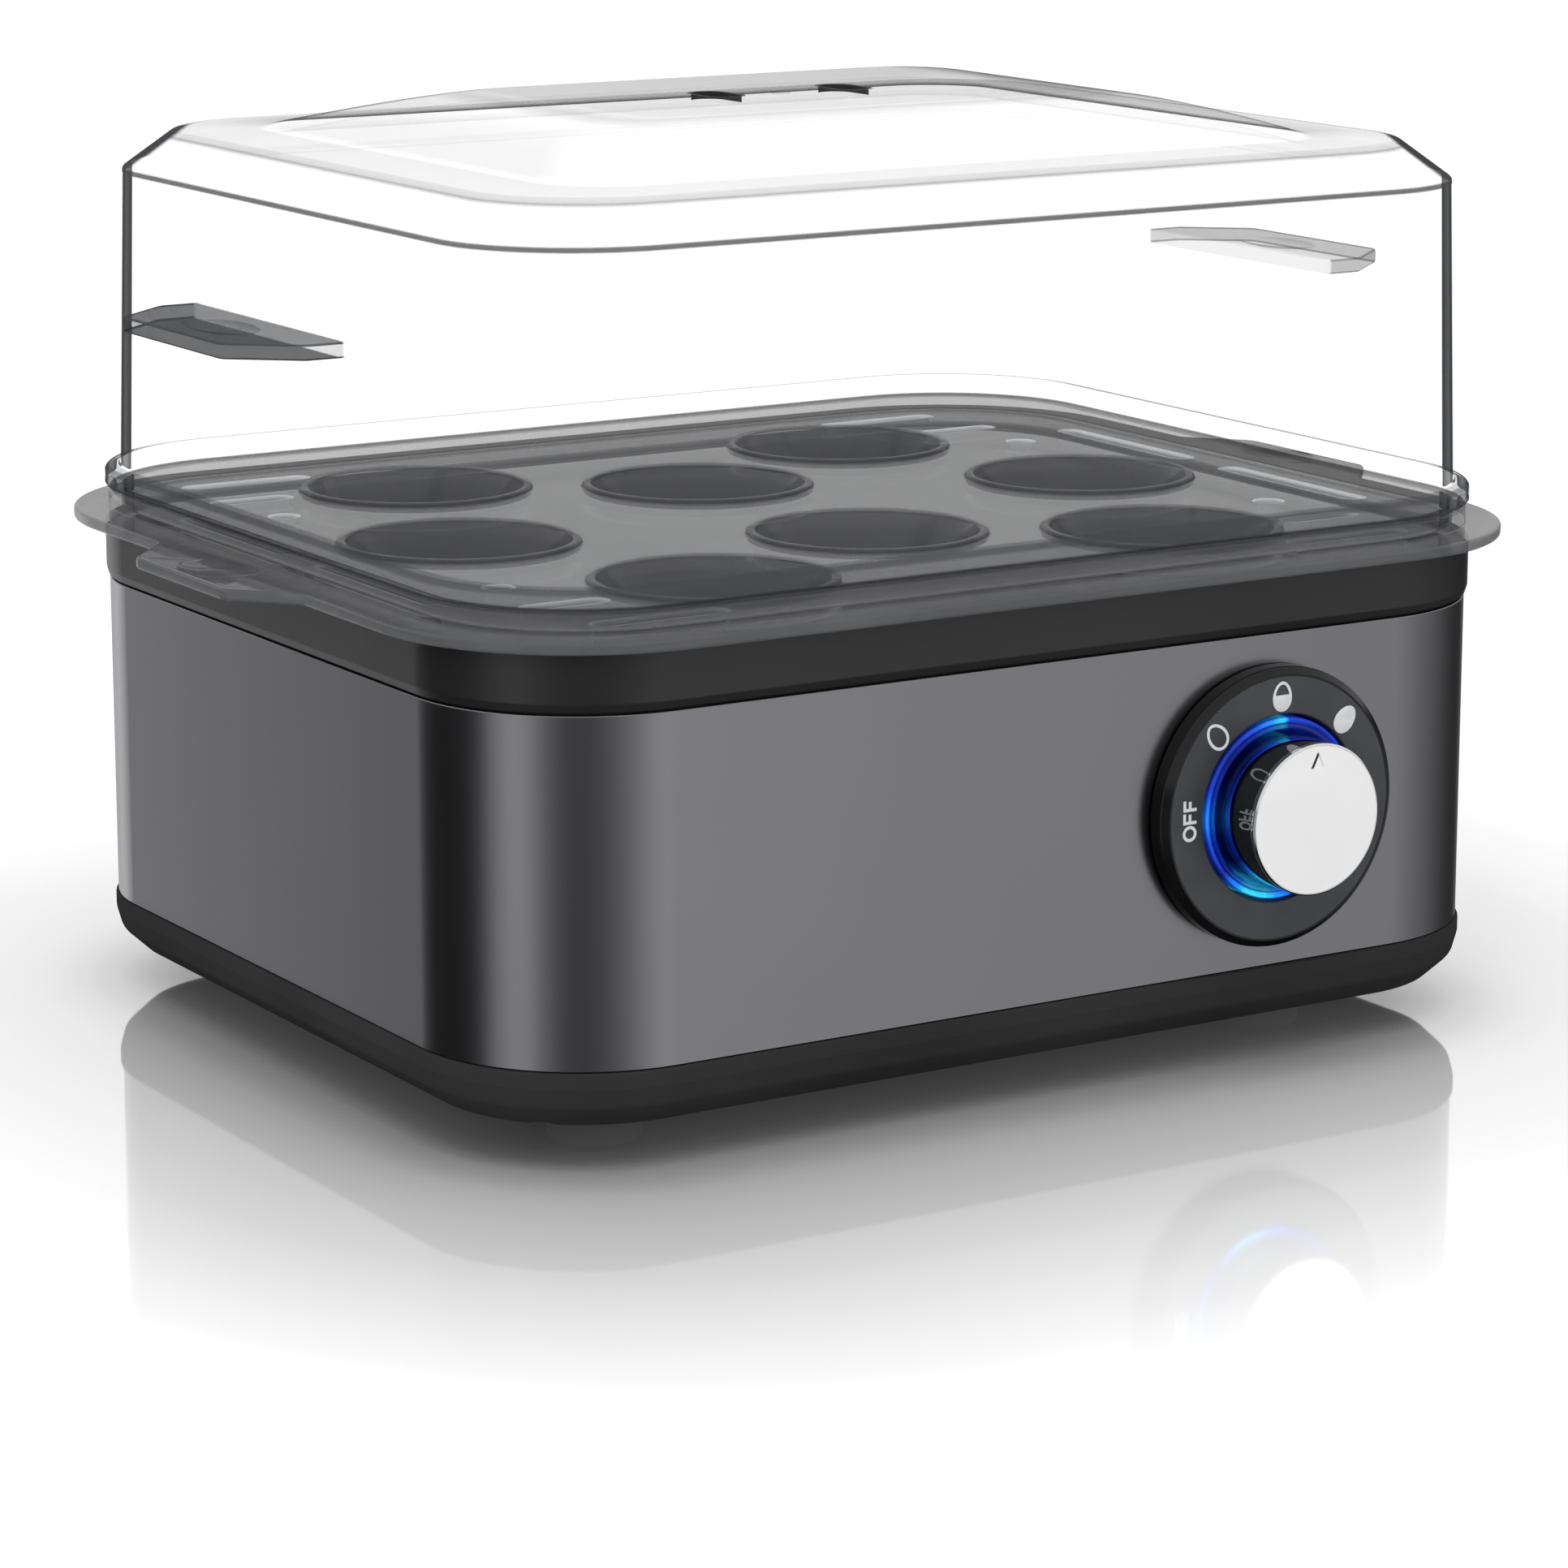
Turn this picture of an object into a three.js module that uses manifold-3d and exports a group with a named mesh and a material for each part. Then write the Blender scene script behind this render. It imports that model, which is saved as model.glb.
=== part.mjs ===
// An egg boiler for eight eggs: a dark base and collar with a steel band between them, a water bowl
// over a heating element, a rotary control with a lit ring, a lift-out egg tray and a clear lid.
// Millimetres, +Z up. The origin is the middle of the object's footprint, on the table.
// The front, with the knob, faces -Y.

import * as THREE from 'three';
import { mergeVertices } from 'three/addons/utils/BufferGeometryUtils.js';
import Module from 'manifold-3d';

const wasm = await Module();
wasm.setup();

// Shared fits and finenesses
const fitGap = 0.3;
const overrun = 4;
const weldDistance = 1e-5;
const cornerSteps = 6;
const fineTurn = 40;
const plainTurn = 16;
const smallTurn = 10;
const drainSteps = 4;
const hexSides = 6;

// Body outline: every ring of the body is this rounded rectangle, grown or shrunk
const band = { width: 180, depth: 150.5, corner: 26.6, height: 51.2, wall: 0.7 };

// Feet and base cover, upwards from the table
const foot = { clear: 4, radius: 7, edge: 0.8, pegRadius: 2.6, pegHeight: 2.4, inset: 30 };
const base = {
  height: 10.1, floor: 2.2, overhang: 0.4, tuck: 12, tuckCorner: 18, lip: 2.1, upstand: 7.9, wall: 2,
};
const post = { inset: 12.6, radius: 3.5, pilot: 1.75, pilotDepth: 14 };
const boss = { radius: 4.6, height: 14 };
const baseScrew = { head: 3, headHeight: 2.2, shank: 1.45, grip: 10 };

// Collar above the band
const collar = {
  height: 8.9, overhang: 0.5, lipEdge: 1.2, topEdge: 0.5, wall: 2, skirt: 7.9,
  rim: 4.7, seatDrop: 3.2, shelf: 2,
};

// Water bowl, on a soft ring on the collar's shelf
const bowl = {
  inset: 9, corner: 32.8, wall: 1.2, flange: 1.3, floor: 1.8, depth: 19, draft: 3, floorRound: 3,
  bossRadius: 2.6,
};
const seal = { thickness: 1, edge: 0.3 };

// Egg tray
const tray = {
  plate: 1.8, flange: 5.4, edge: 0.5, upstandInset: 0.1, upstandWall: 2, upstand: 3, upstandEdge: 0.4,
};
const trayTab = {
  reach: 8.2, rootHalf: 24.5, endHalf: 15, edge: 0.4, dimpleX: 5.5, dimpleY: 8.5, dimple: 0.9,
  dimpleEdge: 0.8,
};
const seat = { topRadius: 17.2, lowRadius: 15, wall: 1.4, lip: 0.8, drop: 4.5 };
const seatPlan = { edgeX: 33, edgeY: 29, stepX: 17, stepY: 21 };
const drain = {
  width: 3, outerEdge: 9.3, outerCorner: 29.5, outerLength: 21, innerEdge: 24.8, innerCorner: 22.9,
  innerLength: 12.8, sideEdge: 7.5, sideStart: 5.5, sideLength: 35, pipEdgeX: 20.8, pipEdgeY: 40.6,
  pipRadius: 1.8,
};

// Lid, upwards from the tray's upstand
const lid = {
  wall: 1.7, skirt: 2.8, beadHeight: 3.1, beadOverhang: 0.45, beadEdge: 0.6, inset: 2, side: 46.6,
  topInset: 3.7, topCorner: 22.4, chamfer: 6, ledgeInset: 10.7, ledgeCorner: 18.9,
};
const crown = { rise: 6.3, edgeX: 22.5, edgeY: 20.7, corner: 12, runX: 29.5, runY: 27.5, topCorner: 5 };
const crownSteps = 4;
const lidTab = {
  past: 0.4, taper: 9.8, rootHalf: 24.7, endHalf: 16.5, thickness: 2.4, rise: 27.1, edge: 0.4,
  dimpleX: 5, dimpleY: 9.9, dimple: 1, dimpleEdge: 3.2, root: 0.8,
};
const vent = { width: 5.4, length: 10, place: 11.5, gateRadius: 1.6, gateDepth: 0.4 };

// Rotary control on the front; depths run outwards from the band's front
const dial = {
  edge: 51.1, lower: 0.3, radius: 21.4, thickness: 3.4, side: 2.5, faceRadius: 20.34, hubRadius: 15.7,
  hubDepth: 4,
};
const lightRing = { radius: 13.9, width: 1.9, proud: 0.1, web: 1.5, hole: 7.2 };
const knob = { radius: 11.5, proud: 12.64, cap: 0.9, capEdge: 0.2, bore: 10, edge: 0.3 };
const pointer = { width: 2.4, height: 2.4, place: 9.1, depth: 0.4 };
const shaft = { radius: 3, tail: 6 };
const bushing = { radius: 3.9, reach: 3.4 };
const timer = { size: 16, depth: 8.6 };
const nut = { radius: 6.2, thickness: 2 };
const ledBoard = { thickness: 1.2, outer: 15.2 };
const led = { width: 2.8, length: 3.5, height: 0.8, ring: 11.6, count: 4 };
const bracket = {
  thickness: 2.2, width: 50, above: 17.8, footDepth: 12, footHeight: 2, standoff: 4, screwX: 18,
  screwInset: 7.5,
};
const smallScrew = { head: 2.6, headHeight: 1.6, shank: 1.2, grip: 3.2, pilot: 1.5, boss: 3.4 };

// Electronics on the base
const board = { x: -22, edge: 38.3, width: 58, depth: 38, thickness: 1.6, standoff: 5.5, holeInset: 4 };
const relay = { x: -14, y: -3, width: 19, depth: 15.5, height: 15.7, edge: 0.6 };
const capacitor = { x: 4, y: 8, radius: 5, height: 14, edge: 0.8 };
const buzzer = { x: 8, y: -8, radius: 6, height: 8, hole: 1, edge: 0.6 };
const connector = { edge: 7, y: 2, width: 7, depth: 14, height: 7, wall: 1 };
const terminals = {
  x: 4, edge: 23.3, width: 30, depth: 12, height: 14, bore: 2.2, pitch: 9, boreDepth: 4, corner: 1,
};

// Heating parts under the bowl
const element = { radius: 3.3, edgeX: 40, edgeY: 39.3, endX: 12, bend: 9, endDrop: 14 };
const elementSteps = 58;
const tubeSides = 8;
const clamp = { length: 21, width: 8, thickness: 1.2, hole: 1.4, screwSpan: 14 };
const clampScrew = { head: 2.1, headHeight: 1.4, shank: 1, grip: 3.4, pilot: 1.3 };
const thermostat = { x: 8, y: 6, radius: 8.2, height: 6.5, capRadius: 6, capHeight: 2.6 };
const blade = { width: 4.8, thickness: 0.8, height: 7, gap: 7 };
const strap = { length: 38, width: 16, thickness: 1, screwSpan: 28 };
const fuse = { x: -22, y: 4, radius: 2, length: 11, leadRadius: 0.6, lead: 4 };

// Cable inlet in the back
const gland = { x: 0, z: 24, bore: 3.4, body: 5, flange: 7.2, flangeDepth: 2.4, reach: 9 };
const glandNut = { radius: 8, depth: 2.4 };

// Inner wires
const wire = { radius: 1.1, stub: 4, lift: 3.4 };
const wireSteps = 14;

const finish = {
  clear: { color: 0xe9edee, roughness: 0.05, metalness: 0, transparent: true, opacity: 0.35 },
  smoky: { color: 0x8d9194, roughness: 0.08, metalness: 0, transparent: true, opacity: 0.6 },
  black: { color: 0x2b2b2c, roughness: 0.42, metalness: 0 },
  glossBlack: { color: 0x111214, roughness: 0.08, metalness: 0.1 },
  steel: { color: 0x86868a, roughness: 0.38, metalness: 0.9 },
  satinCap: { color: 0xdfe0e1, roughness: 0.3, metalness: 0.85 },
  bowl: { color: 0x4a4b4d, roughness: 0.45, metalness: 0.3 },
  dial: { color: 0x414346, roughness: 0.4, metalness: 0.2 },
  blueGlow: { color: 0x1450ff, roughness: 0.3, metalness: 0, emissive: 0x0a3cff },
  led: { color: 0x6fd8ff, roughness: 0.3, metalness: 0, emissive: 0x2fb8ff },
  rubber: { color: 0x1c1c1c, roughness: 0.85, metalness: 0 },
  silicone: { color: 0x9a9c9e, roughness: 0.7, metalness: 0 },
  zinc: { color: 0xb4b6b8, roughness: 0.35, metalness: 0.9 },
  brass: { color: 0xb8954e, roughness: 0.35, metalness: 0.9 },
  greenBoard: { color: 0x1f5a36, roughness: 0.5, metalness: 0 },
  relayBlue: { color: 0x2a4f8f, roughness: 0.45, metalness: 0 },
  ceramic: { color: 0xe6e1d6, roughness: 0.6, metalness: 0 },
  plasticGrey: { color: 0x55585b, roughness: 0.55, metalness: 0 },
  wireBrown: { color: 0x6b3f22, roughness: 0.6, metalness: 0 },
  wireBlue: { color: 0x2458a8, roughness: 0.6, metalness: 0 },
  wireRed: { color: 0xa32a22, roughness: 0.6, metalness: 0 },
};

const halfWidth = band.width / 2;
const halfDepth = band.depth / 2;

// Heights, stacked from the table up
const baseTop = foot.clear + base.height;
const bandBottom = baseTop + fitGap;
const bandTop = bandBottom + band.height;
const collarLip = bandTop + fitGap;
const collarTop = collarLip + collar.height;
const shelfTop = collarTop - collar.seatDrop;
const shelfUnder = shelfTop - collar.shelf;
const skirtEnd = collarLip - collar.skirt;
const trayUnder = collarTop + fitGap;
const deck = trayUnder + tray.plate;
const upstandTop = deck + tray.upstand;
const beadBottom = upstandTop + fitGap;
const beadTop = beadBottom + lid.beadHeight;
const sideTop = beadTop + lid.side;
const ledgeTop = sideTop + lid.chamfer;
const crownTop = ledgeTop + crown.rise;
const floorTop = foot.clear + base.floor;
const flangeUnder = shelfTop + fitGap + seal.thickness + fitGap;
const bowlRim = flangeUnder + bowl.flange;
const bowlUnder = bowlRim - bowl.depth - bowl.floor;

// Depths on the front, measured outwards from the band's front face
const dialBack = fitGap;
const dialFace = dialBack + dial.thickness;
const knobFace = knob.proud;
const capBack = knobFace - knob.cap;
const knobTop = capBack - fitGap;
const ringFace = dialFace + lightRing.proud;
const webFront = -dial.hubDepth + lightRing.web;
const ledFront = -dial.hubDepth - fitGap;
const ledBack = ledFront - led.height;
const boardFront = ledBack - fitGap;
const boardBack = boardFront - ledBoard.thickness;
const bracketFront = boardBack - fitGap;
const bracketBack = bracketFront - bracket.thickness;
const timerFront = bracketBack - fitGap;
const timerBack = timerFront - timer.depth;

// Places in plan
const dialX = halfWidth - dial.edge;
const dialZ = bandBottom + band.height / 2 - dial.lower;
const boardY = board.edge - halfDepth;
const connectorX = board.x + board.width / 2 - connector.edge;
const connectorY = boardY + connector.y;
const terminalY = halfDepth - terminals.edge;
const elementX = halfWidth - element.edgeX;
const elementY = halfDepth - element.edgeY;
const flangeEdge = halfWidth + tray.flange;
const trayTabEnd = flangeEdge + trayTab.reach;
const lidTabEnd = trayTabEnd + lidTab.past;

// The knob stands out further in front than the tray's flange does behind
const centreShift = (knob.proud - tray.flange) / 2;

// Geometry helpers

function arcPoints(cx, cy, radius, from, to, steps) {
  const points = [];
  for (let i = 0; i <= steps; i += 1) {
    const angle = from + ((to - from) * i) / steps;
    points.push(new THREE.Vector2(cx + radius * Math.cos(angle), cy + radius * Math.sin(angle)));
  }
  return points;
}

function roundedOutline(halfX, halfY, corner) {
  const quarter = Math.PI / 2;
  const cx = halfX - corner;
  const cy = halfY - corner;
  return [
    ...arcPoints(cx, cy, corner, 0, quarter, cornerSteps),
    ...arcPoints(-cx, cy, corner, quarter, 2 * quarter, cornerSteps),
    ...arcPoints(-cx, -cy, corner, 2 * quarter, 3 * quarter, cornerSteps),
    ...arcPoints(cx, -cy, corner, 3 * quarter, 4 * quarter, cornerSteps),
  ];
}

// A level ring of the body's outline, grown by an amount
function ring(grow, z, corner = band.corner + grow) {
  const outline = roundedOutline(halfWidth + grow, halfDepth + grow, corner);
  return outline.map((p) => new THREE.Vector3(p.x, p.y, z));
}

// Skins a stack of equal rings; a loop closes on its first ring, anything else is capped
function skin(rings, loop = false) {
  const count = rings[0].length;
  const positions = rings.flat().flatMap((p) => p.toArray());
  const index = [];
  const bands = loop ? rings.length : rings.length - 1;
  for (let i = 0; i < bands; i += 1) {
    const low = i * count;
    const high = ((i + 1) % rings.length) * count;
    for (let j = 0; j < count; j += 1) {
      const k = (j + 1) % count;
      index.push(low + j, low + k, high + k, low + j, high + k, high + j);
    }
  }
  if (!loop) {
    const last = (rings.length - 1) * count;
    for (let j = 1; j < count - 1; j += 1) {
      index.push(0, j + 1, j);
      index.push(last, last + j, last + j + 1);
    }
  }
  const geometry = new THREE.BufferGeometry();
  geometry.setAttribute('position', new THREE.Float32BufferAttribute(positions, 3));
  geometry.setIndex(index);
  return geometry;
}

function bodyLoop(profile) {
  return skin(profile.map(([grow, z, corner]) => ring(grow, z, corner)), true);
}

function bodyStack(profile) {
  return skin(profile.map(([grow, z, corner]) => ring(grow, z, corner)));
}

// A turned piece about Z, from a closed list of [radius, z]
function turned(profile, segments = plainTurn) {
  const points = [...profile, profile[0]].map(([r, z]) => new THREE.Vector2(r, z));
  return new THREE.LatheGeometry(points, segments).rotateX(Math.PI / 2);
}

function rod(radius, from, to, segments = plainTurn) {
  return turned([[0, from], [radius, from], [radius, to], [0, to]], segments);
}

function tubeRing(outer, inner, from, to, segments = plainTurn) {
  return turned([[inner, from], [outer, from], [outer, to], [inner, to]], segments);
}

function block(width, depth, from, to) {
  const height = to - from;
  return new THREE.BoxGeometry(width, depth, height).translate(0, 0, from + height / 2);
}

function slab(points, from, to, edge = 0) {
  const settings = { depth: to - from - 2 * edge, bevelEnabled: edge > 0, curveSegments: cornerSteps };
  if (edge > 0) {
    Object.assign(settings, { bevelThickness: edge, bevelSize: edge, bevelOffset: -edge, bevelSegments: 1 });
  }
  return new THREE.ExtrudeGeometry(new THREE.Shape(points), settings).translate(0, 0, from + edge);
}

function stadium(length, width, steps = cornerSteps) {
  const half = (length - width) / 2;
  const quarter = Math.PI / 2;
  return [
    ...arcPoints(half, 0, width / 2, -quarter, quarter, steps),
    ...arcPoints(-half, 0, width / 2, quarter, 3 * quarter, steps),
  ];
}

function signedVolume(position, index) {
  const a = new THREE.Vector3();
  const b = new THREE.Vector3();
  const c = new THREE.Vector3();
  let sum = 0;
  for (let i = 0; i < index.length; i += 3) {
    a.fromBufferAttribute(position, index[i]);
    b.fromBufferAttribute(position, index[i + 1]);
    c.fromBufferAttribute(position, index[i + 2]);
    sum += a.dot(b.cross(c));
  }
  return sum;
}

// Welds a closed surface and turns its faces outwards, ready to be joined or cut
function solid(geometry) {
  const bare = new THREE.BufferGeometry();
  bare.setAttribute('position', geometry.getAttribute('position'));
  bare.setIndex(geometry.getIndex());
  const welded = mergeVertices(bare, weldDistance);
  const position = welded.getAttribute('position');
  const kept = [];
  const index = welded.getIndex().array;
  for (let i = 0; i < index.length; i += 3) {
    const [a, b, c] = index.slice(i, i + 3);
    if (a !== b && b !== c && c !== a) {
      kept.push(a, b, c);
    }
  }
  if (signedVolume(position, kept) < 0) {
    kept.reverse();
  }
  const mesh = new wasm.Mesh({
    numProp: 3,
    vertProperties: new Float32Array(position.array),
    triVerts: new Uint32Array(kept),
  });
  return new wasm.Manifold(mesh);
}

function joined(geometries) {
  return geometries.map(solid).reduce((sum, next) => sum.add(next));
}

function cut(body, tools) {
  return tools.map(solid).reduce((rest, tool) => rest.subtract(tool), body);
}

function surface(body) {
  const mesh = body.getMesh();
  const geometry = new THREE.BufferGeometry();
  geometry.setAttribute('position', new THREE.BufferAttribute(mesh.vertProperties, 3));
  geometry.setIndex(new THREE.BufferAttribute(mesh.triVerts, 1));
  return geometry;
}

const model = new THREE.Group();
model.position.y = centreShift;

// The control's axis: local Z runs out of the front, local Y stays up
const control = new THREE.Group();
control.position.set(dialX, -halfDepth, dialZ);
control.rotation.x = Math.PI / 2;
model.add(control);

function addPart(name, body, look, parent = model) {
  const mesh = new THREE.Mesh(surface(body), new THREE.MeshStandardMaterial(look));
  mesh.name = name;
  parent.add(mesh);
}

// The four corners of a rectangle about the middle, in turn
function fourPlaces(x, y) {
  return [[-x, -y], [x, -y], [x, y], [-x, y]];
}

function copies(places, make) {
  return places.map(([x, y]) => make().translate(x, y, 0));
}

// Like pieces, numbered, one at each place
function addCopies(name, places, make, look) {
  copies(places, make).forEach((geometry, i) => addPart(`${name}_${i + 1}`, solid(geometry), look));
}

// The hole through which the control reaches inside
function controlHole() {
  const tool = rod(dial.hubRadius + fitGap, -halfDepth / 2, halfDepth / 2, fineTurn);
  return tool.rotateX(Math.PI / 2).translate(dialX, -halfDepth, dialZ);
}

function glandHole() {
  const tool = rod(gland.body + fitGap, -halfDepth / 2, halfDepth / 2);
  return tool.rotateX(Math.PI / 2).translate(gland.x, halfDepth, gland.z);
}

// Body shells

function makeBand() {
  const loop = bodyLoop([[0, bandBottom], [0, bandTop], [-band.wall, bandTop], [-band.wall, bandBottom]]);
  addPart('steel_band', cut(solid(loop), [controlHole(), glandHole()]), finish.steel);
}

const innerFit = -(band.wall + fitGap);
const postPlaces = fourPlaces(halfWidth - post.inset, halfDepth - post.inset);
const bossTop = floorTop + boss.height;
const bossSeat = foot.clear + base.height / 2;

function makeBase() {
  const innerWall = innerFit - base.wall;
  const tuckEdge = baseTop - base.lip;
  const shell = bodyStack([
    [-base.tuck, foot.clear, base.tuckCorner],
    [-base.tuck / 3, foot.clear + base.height / 6],
    [-base.overhang, foot.clear + base.height / 2],
    [base.overhang, tuckEdge],
    [base.overhang, baseTop - base.overhang],
    [0, baseTop],
    [innerFit, baseTop],
    [innerFit, baseTop + base.upstand],
    [innerWall, baseTop + base.upstand],
    [innerWall, tuckEdge],
    [-base.tuck / 2, floorTop + base.floor],
    [-base.tuck, floorTop, base.tuckCorner],
  ]);
  const bosses = copies(postPlaces, () => rod(boss.radius, bossSeat, bossTop, smallTurn));
  const postBottom = foot.clear + base.floor / 2;
  const boardPosts = copies(boardHoles(), () => rod(smallScrew.boss, postBottom, boardSeat, smallTurn));
  const bracketPosts = copies(bracketHoles(), () => (
    rod(smallScrew.boss, postBottom, bracketFootUnder - fitGap, smallTurn)
  ));
  const body = joined([shell, ...bosses, ...boardPosts, ...bracketPosts]);
  const headRoom = baseScrew.head + fitGap;
  const screwHoles = copies(postPlaces, () => turned([
    [0, foot.clear - overrun],
    [headRoom, foot.clear - overrun],
    [headRoom, bossSeat + baseScrew.headHeight],
    [post.pilot, bossSeat + baseScrew.headHeight],
    [post.pilot, bossTop + overrun],
    [0, bossTop + overrun],
  ], smallTurn));
  const pilot = smallScrew.pilot;
  const boardPilots = copies(boardHoles(), () => rod(pilot, floorTop, boardSeat + overrun, smallTurn));
  const bracketPilots = copies(bracketHoles(), () => (
    rod(pilot, floorTop, bracketFootUnder + overrun, smallTurn)
  ));
  const footHoles = copies(footPlaces, () => (
    rod(foot.pegRadius + fitGap, foot.clear - overrun, foot.clear + foot.pegHeight)
  ));
  addPart('base_cover', cut(body, [
    ...screwHoles, ...boardPilots, ...bracketPilots, ...footHoles, controlHole(), glandHole(),
  ]), finish.black);
}

const footPlaces = fourPlaces(halfWidth - foot.inset, halfDepth - foot.inset);

function makeFeet() {
  const top = foot.clear - fitGap;
  const pegTop = foot.clear + foot.pegHeight - fitGap;
  addCopies('rubber_foot', footPlaces, () => turned([
    [0, 0],
    [foot.radius - foot.edge, 0],
    [foot.radius, foot.edge],
    [foot.radius, top],
    [foot.pegRadius, top],
    [foot.pegRadius, pegTop],
    [0, pegTop],
  ]), finish.rubber);
}

function screw(head, headHeight, shank, grip, under, segments = smallTurn) {
  return turned([
    [0, under],
    [shank, under],
    [shank, under + grip],
    [head, under + grip],
    [head, under + grip + headHeight],
    [0, under + grip + headHeight],
  ], segments);
}

function makeBaseScrews() {
  const headTop = bossSeat + baseScrew.headHeight - fitGap;
  const tip = bossTop + fitGap + baseScrew.grip;
  addCopies('base_screw', postPlaces, () => turned([
    [0, headTop - baseScrew.headHeight],
    [baseScrew.head, headTop - baseScrew.headHeight],
    [baseScrew.head, headTop],
    [baseScrew.shank, headTop],
    [baseScrew.shank, tip],
    [0, tip],
  ], smallTurn), finish.zinc);
}

function makeCollar() {
  const shelfInset = -(bowl.inset - bowl.wall - fitGap);
  const shelfCorner = bowl.corner + bowl.wall + fitGap;
  const innerSkirt = innerFit - collar.wall;
  const shell = bodyLoop([
    [collar.overhang, collarLip + collar.lipEdge],
    [collar.overhang, collarTop - collar.topEdge],
    [0, collarTop],
    [-collar.rim, collarTop],
    [-collar.rim, shelfTop],
    [shelfInset, shelfTop, shelfCorner],
    [shelfInset, shelfUnder, shelfCorner],
    [innerSkirt, shelfUnder],
    [innerSkirt, skirtEnd],
    [innerFit, skirtEnd],
    [innerFit, collarLip],
    [0, collarLip],
  ]);
  const postFoot = bossTop + fitGap;
  const postTop = shelfUnder + collar.shelf / 2;
  const posts = copies(postPlaces, () => rod(post.radius, postFoot, postTop, smallTurn));
  const pilots = copies(postPlaces, () => (
    rod(post.pilot, postFoot - overrun, postFoot + post.pilotDepth, smallTurn)
  ));
  addPart('collar_ring', cut(joined([shell, ...posts]), [...pilots, controlHole()]), finish.black);
}

function makeSeal() {
  const outer = -(collar.rim + seal.edge);
  const inner = -(bowl.inset - bowl.wall - fitGap - seal.edge);
  const innerCorner = bowl.corner + bowl.wall + fitGap;
  const low = shelfTop + fitGap;
  const high = low + seal.thickness;
  const loop = bodyLoop([[outer, low], [outer, high], [inner, high, innerCorner], [inner, low, innerCorner]]);
  addPart('bowl_seal', solid(loop), finish.silicone);
}

// Screw places under the bowl: a pair across the tube where a bar presses it
const clampPlaces = [[-elementX, 0], [elementX, 0]];
const tubeUnder = bowlUnder - fitGap - 2 * element.radius;
const clampTop = tubeUnder - fitGap;
const strapTop = bowlUnder - fitGap - thermostat.height;

function pairPlaces(x, y, span) {
  return [[x - span / 2, y], [x + span / 2, y]];
}

const clampScrewPlaces = clampPlaces.flatMap(([x, y]) => pairPlaces(x, y, clamp.screwSpan));
const strapScrewPlaces = pairPlaces(thermostat.x, thermostat.y, strap.screwSpan);

function makeBowl() {
  const wallOut = bowl.inset - bowl.wall;
  const low = bowlUnder + bowl.floor;
  const shell = bodyStack([
    [-(bowl.inset + bowl.draft + bowl.floorRound), low, bowl.corner - bowl.draft - bowl.floorRound],
    [-(bowl.inset + bowl.draft), low + bowl.floorRound / 2, bowl.corner - bowl.draft],
    [-bowl.inset, bowlRim - bowl.wall, bowl.corner],
    [-wallOut, bowlRim, bowl.corner + bowl.wall],
    [-(collar.rim + fitGap), bowlRim],
    [-(collar.rim + fitGap), flangeUnder],
    [-wallOut, flangeUnder, bowl.corner + bowl.wall],
    [-(wallOut + bowl.draft), bowlUnder + bowl.floorRound, bowl.corner + bowl.wall - bowl.draft],
    [-(wallOut + bowl.draft + bowl.floorRound), bowlUnder, bowl.corner + bowl.wall - bowl.draft
      - bowl.floorRound],
  ]);
  const join = bowlUnder + bowl.floor / 2;
  const bosses = [];
  const pilots = [];
  for (const [places, seatLevel] of [[clampScrewPlaces, tubeUnder], [strapScrewPlaces, strapTop]]) {
    bosses.push(...copies(places, () => rod(bowl.bossRadius, seatLevel, join, smallTurn)));
    pilots.push(...copies(places, () => rod(clampScrew.pilot, seatLevel - overrun, bowlUnder, smallTurn)));
  }
  addPart('heating_bowl', cut(joined([shell, ...bosses]), pilots), finish.bowl);
}

// A tube of even radius along a path of straight runs and round bends
function tube(points, bend, radius, steps) {
  const path = new THREE.CurvePath();
  let from = points[0];
  for (let i = 1; i < points.length - 1; i += 1) {
    const corner = points[i];
    const back = corner.clone().sub(from);
    const ahead = points[i + 1].clone().sub(corner);
    const reach = Math.min(bend, back.length() / 2, ahead.length() / 2);
    const enter = corner.clone().addScaledVector(back.normalize(), -reach);
    const leave = corner.clone().addScaledVector(ahead.normalize(), reach);
    path.add(new THREE.LineCurve3(from, enter));
    path.add(new THREE.QuadraticBezierCurve3(enter, corner, leave));
    from = leave;
  }
  path.add(new THREE.LineCurve3(from, points[points.length - 1]));
  const lastTurn = 2 * Math.PI * (1 - 1 / tubeSides);
  const section = new THREE.Shape(arcPoints(0, 0, radius, 0, lastTurn, tubeSides - 1));
  return new THREE.ExtrudeGeometry(section, { steps, bevelEnabled: false, extrudePath: path });
}

function points3(list) {
  return list.map(([x, y, z]) => new THREE.Vector3(x, y, z));
}

const tubeLevel = bowlUnder - fitGap - element.radius;
const elementEnd = tubeLevel - element.endDrop;

function makeElement() {
  const { endX } = element;
  const route = points3([
    [-endX, elementY, elementEnd],
    [-endX, elementY, tubeLevel],
    [-elementX, elementY, tubeLevel],
    [-elementX, -elementY, tubeLevel],
    [elementX, -elementY, tubeLevel],
    [elementX, elementY, tubeLevel],
    [endX, elementY, tubeLevel],
    [endX, elementY, elementEnd],
  ]);
  const loop = tube(route, element.bend, element.radius, elementSteps);
  addPart('heating_element', solid(loop), finish.zinc);
}

function bar(length, width, thickness, top, screwSpan, hole) {
  const plate = solid(slab(stadium(length, width), top - thickness, top));
  const half = screwSpan / 2;
  const holes = copies([[-half, 0], [half, 0]], () => rod(hole, top - overrun, top + overrun, smallTurn));
  return surface(cut(plate, holes));
}

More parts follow.
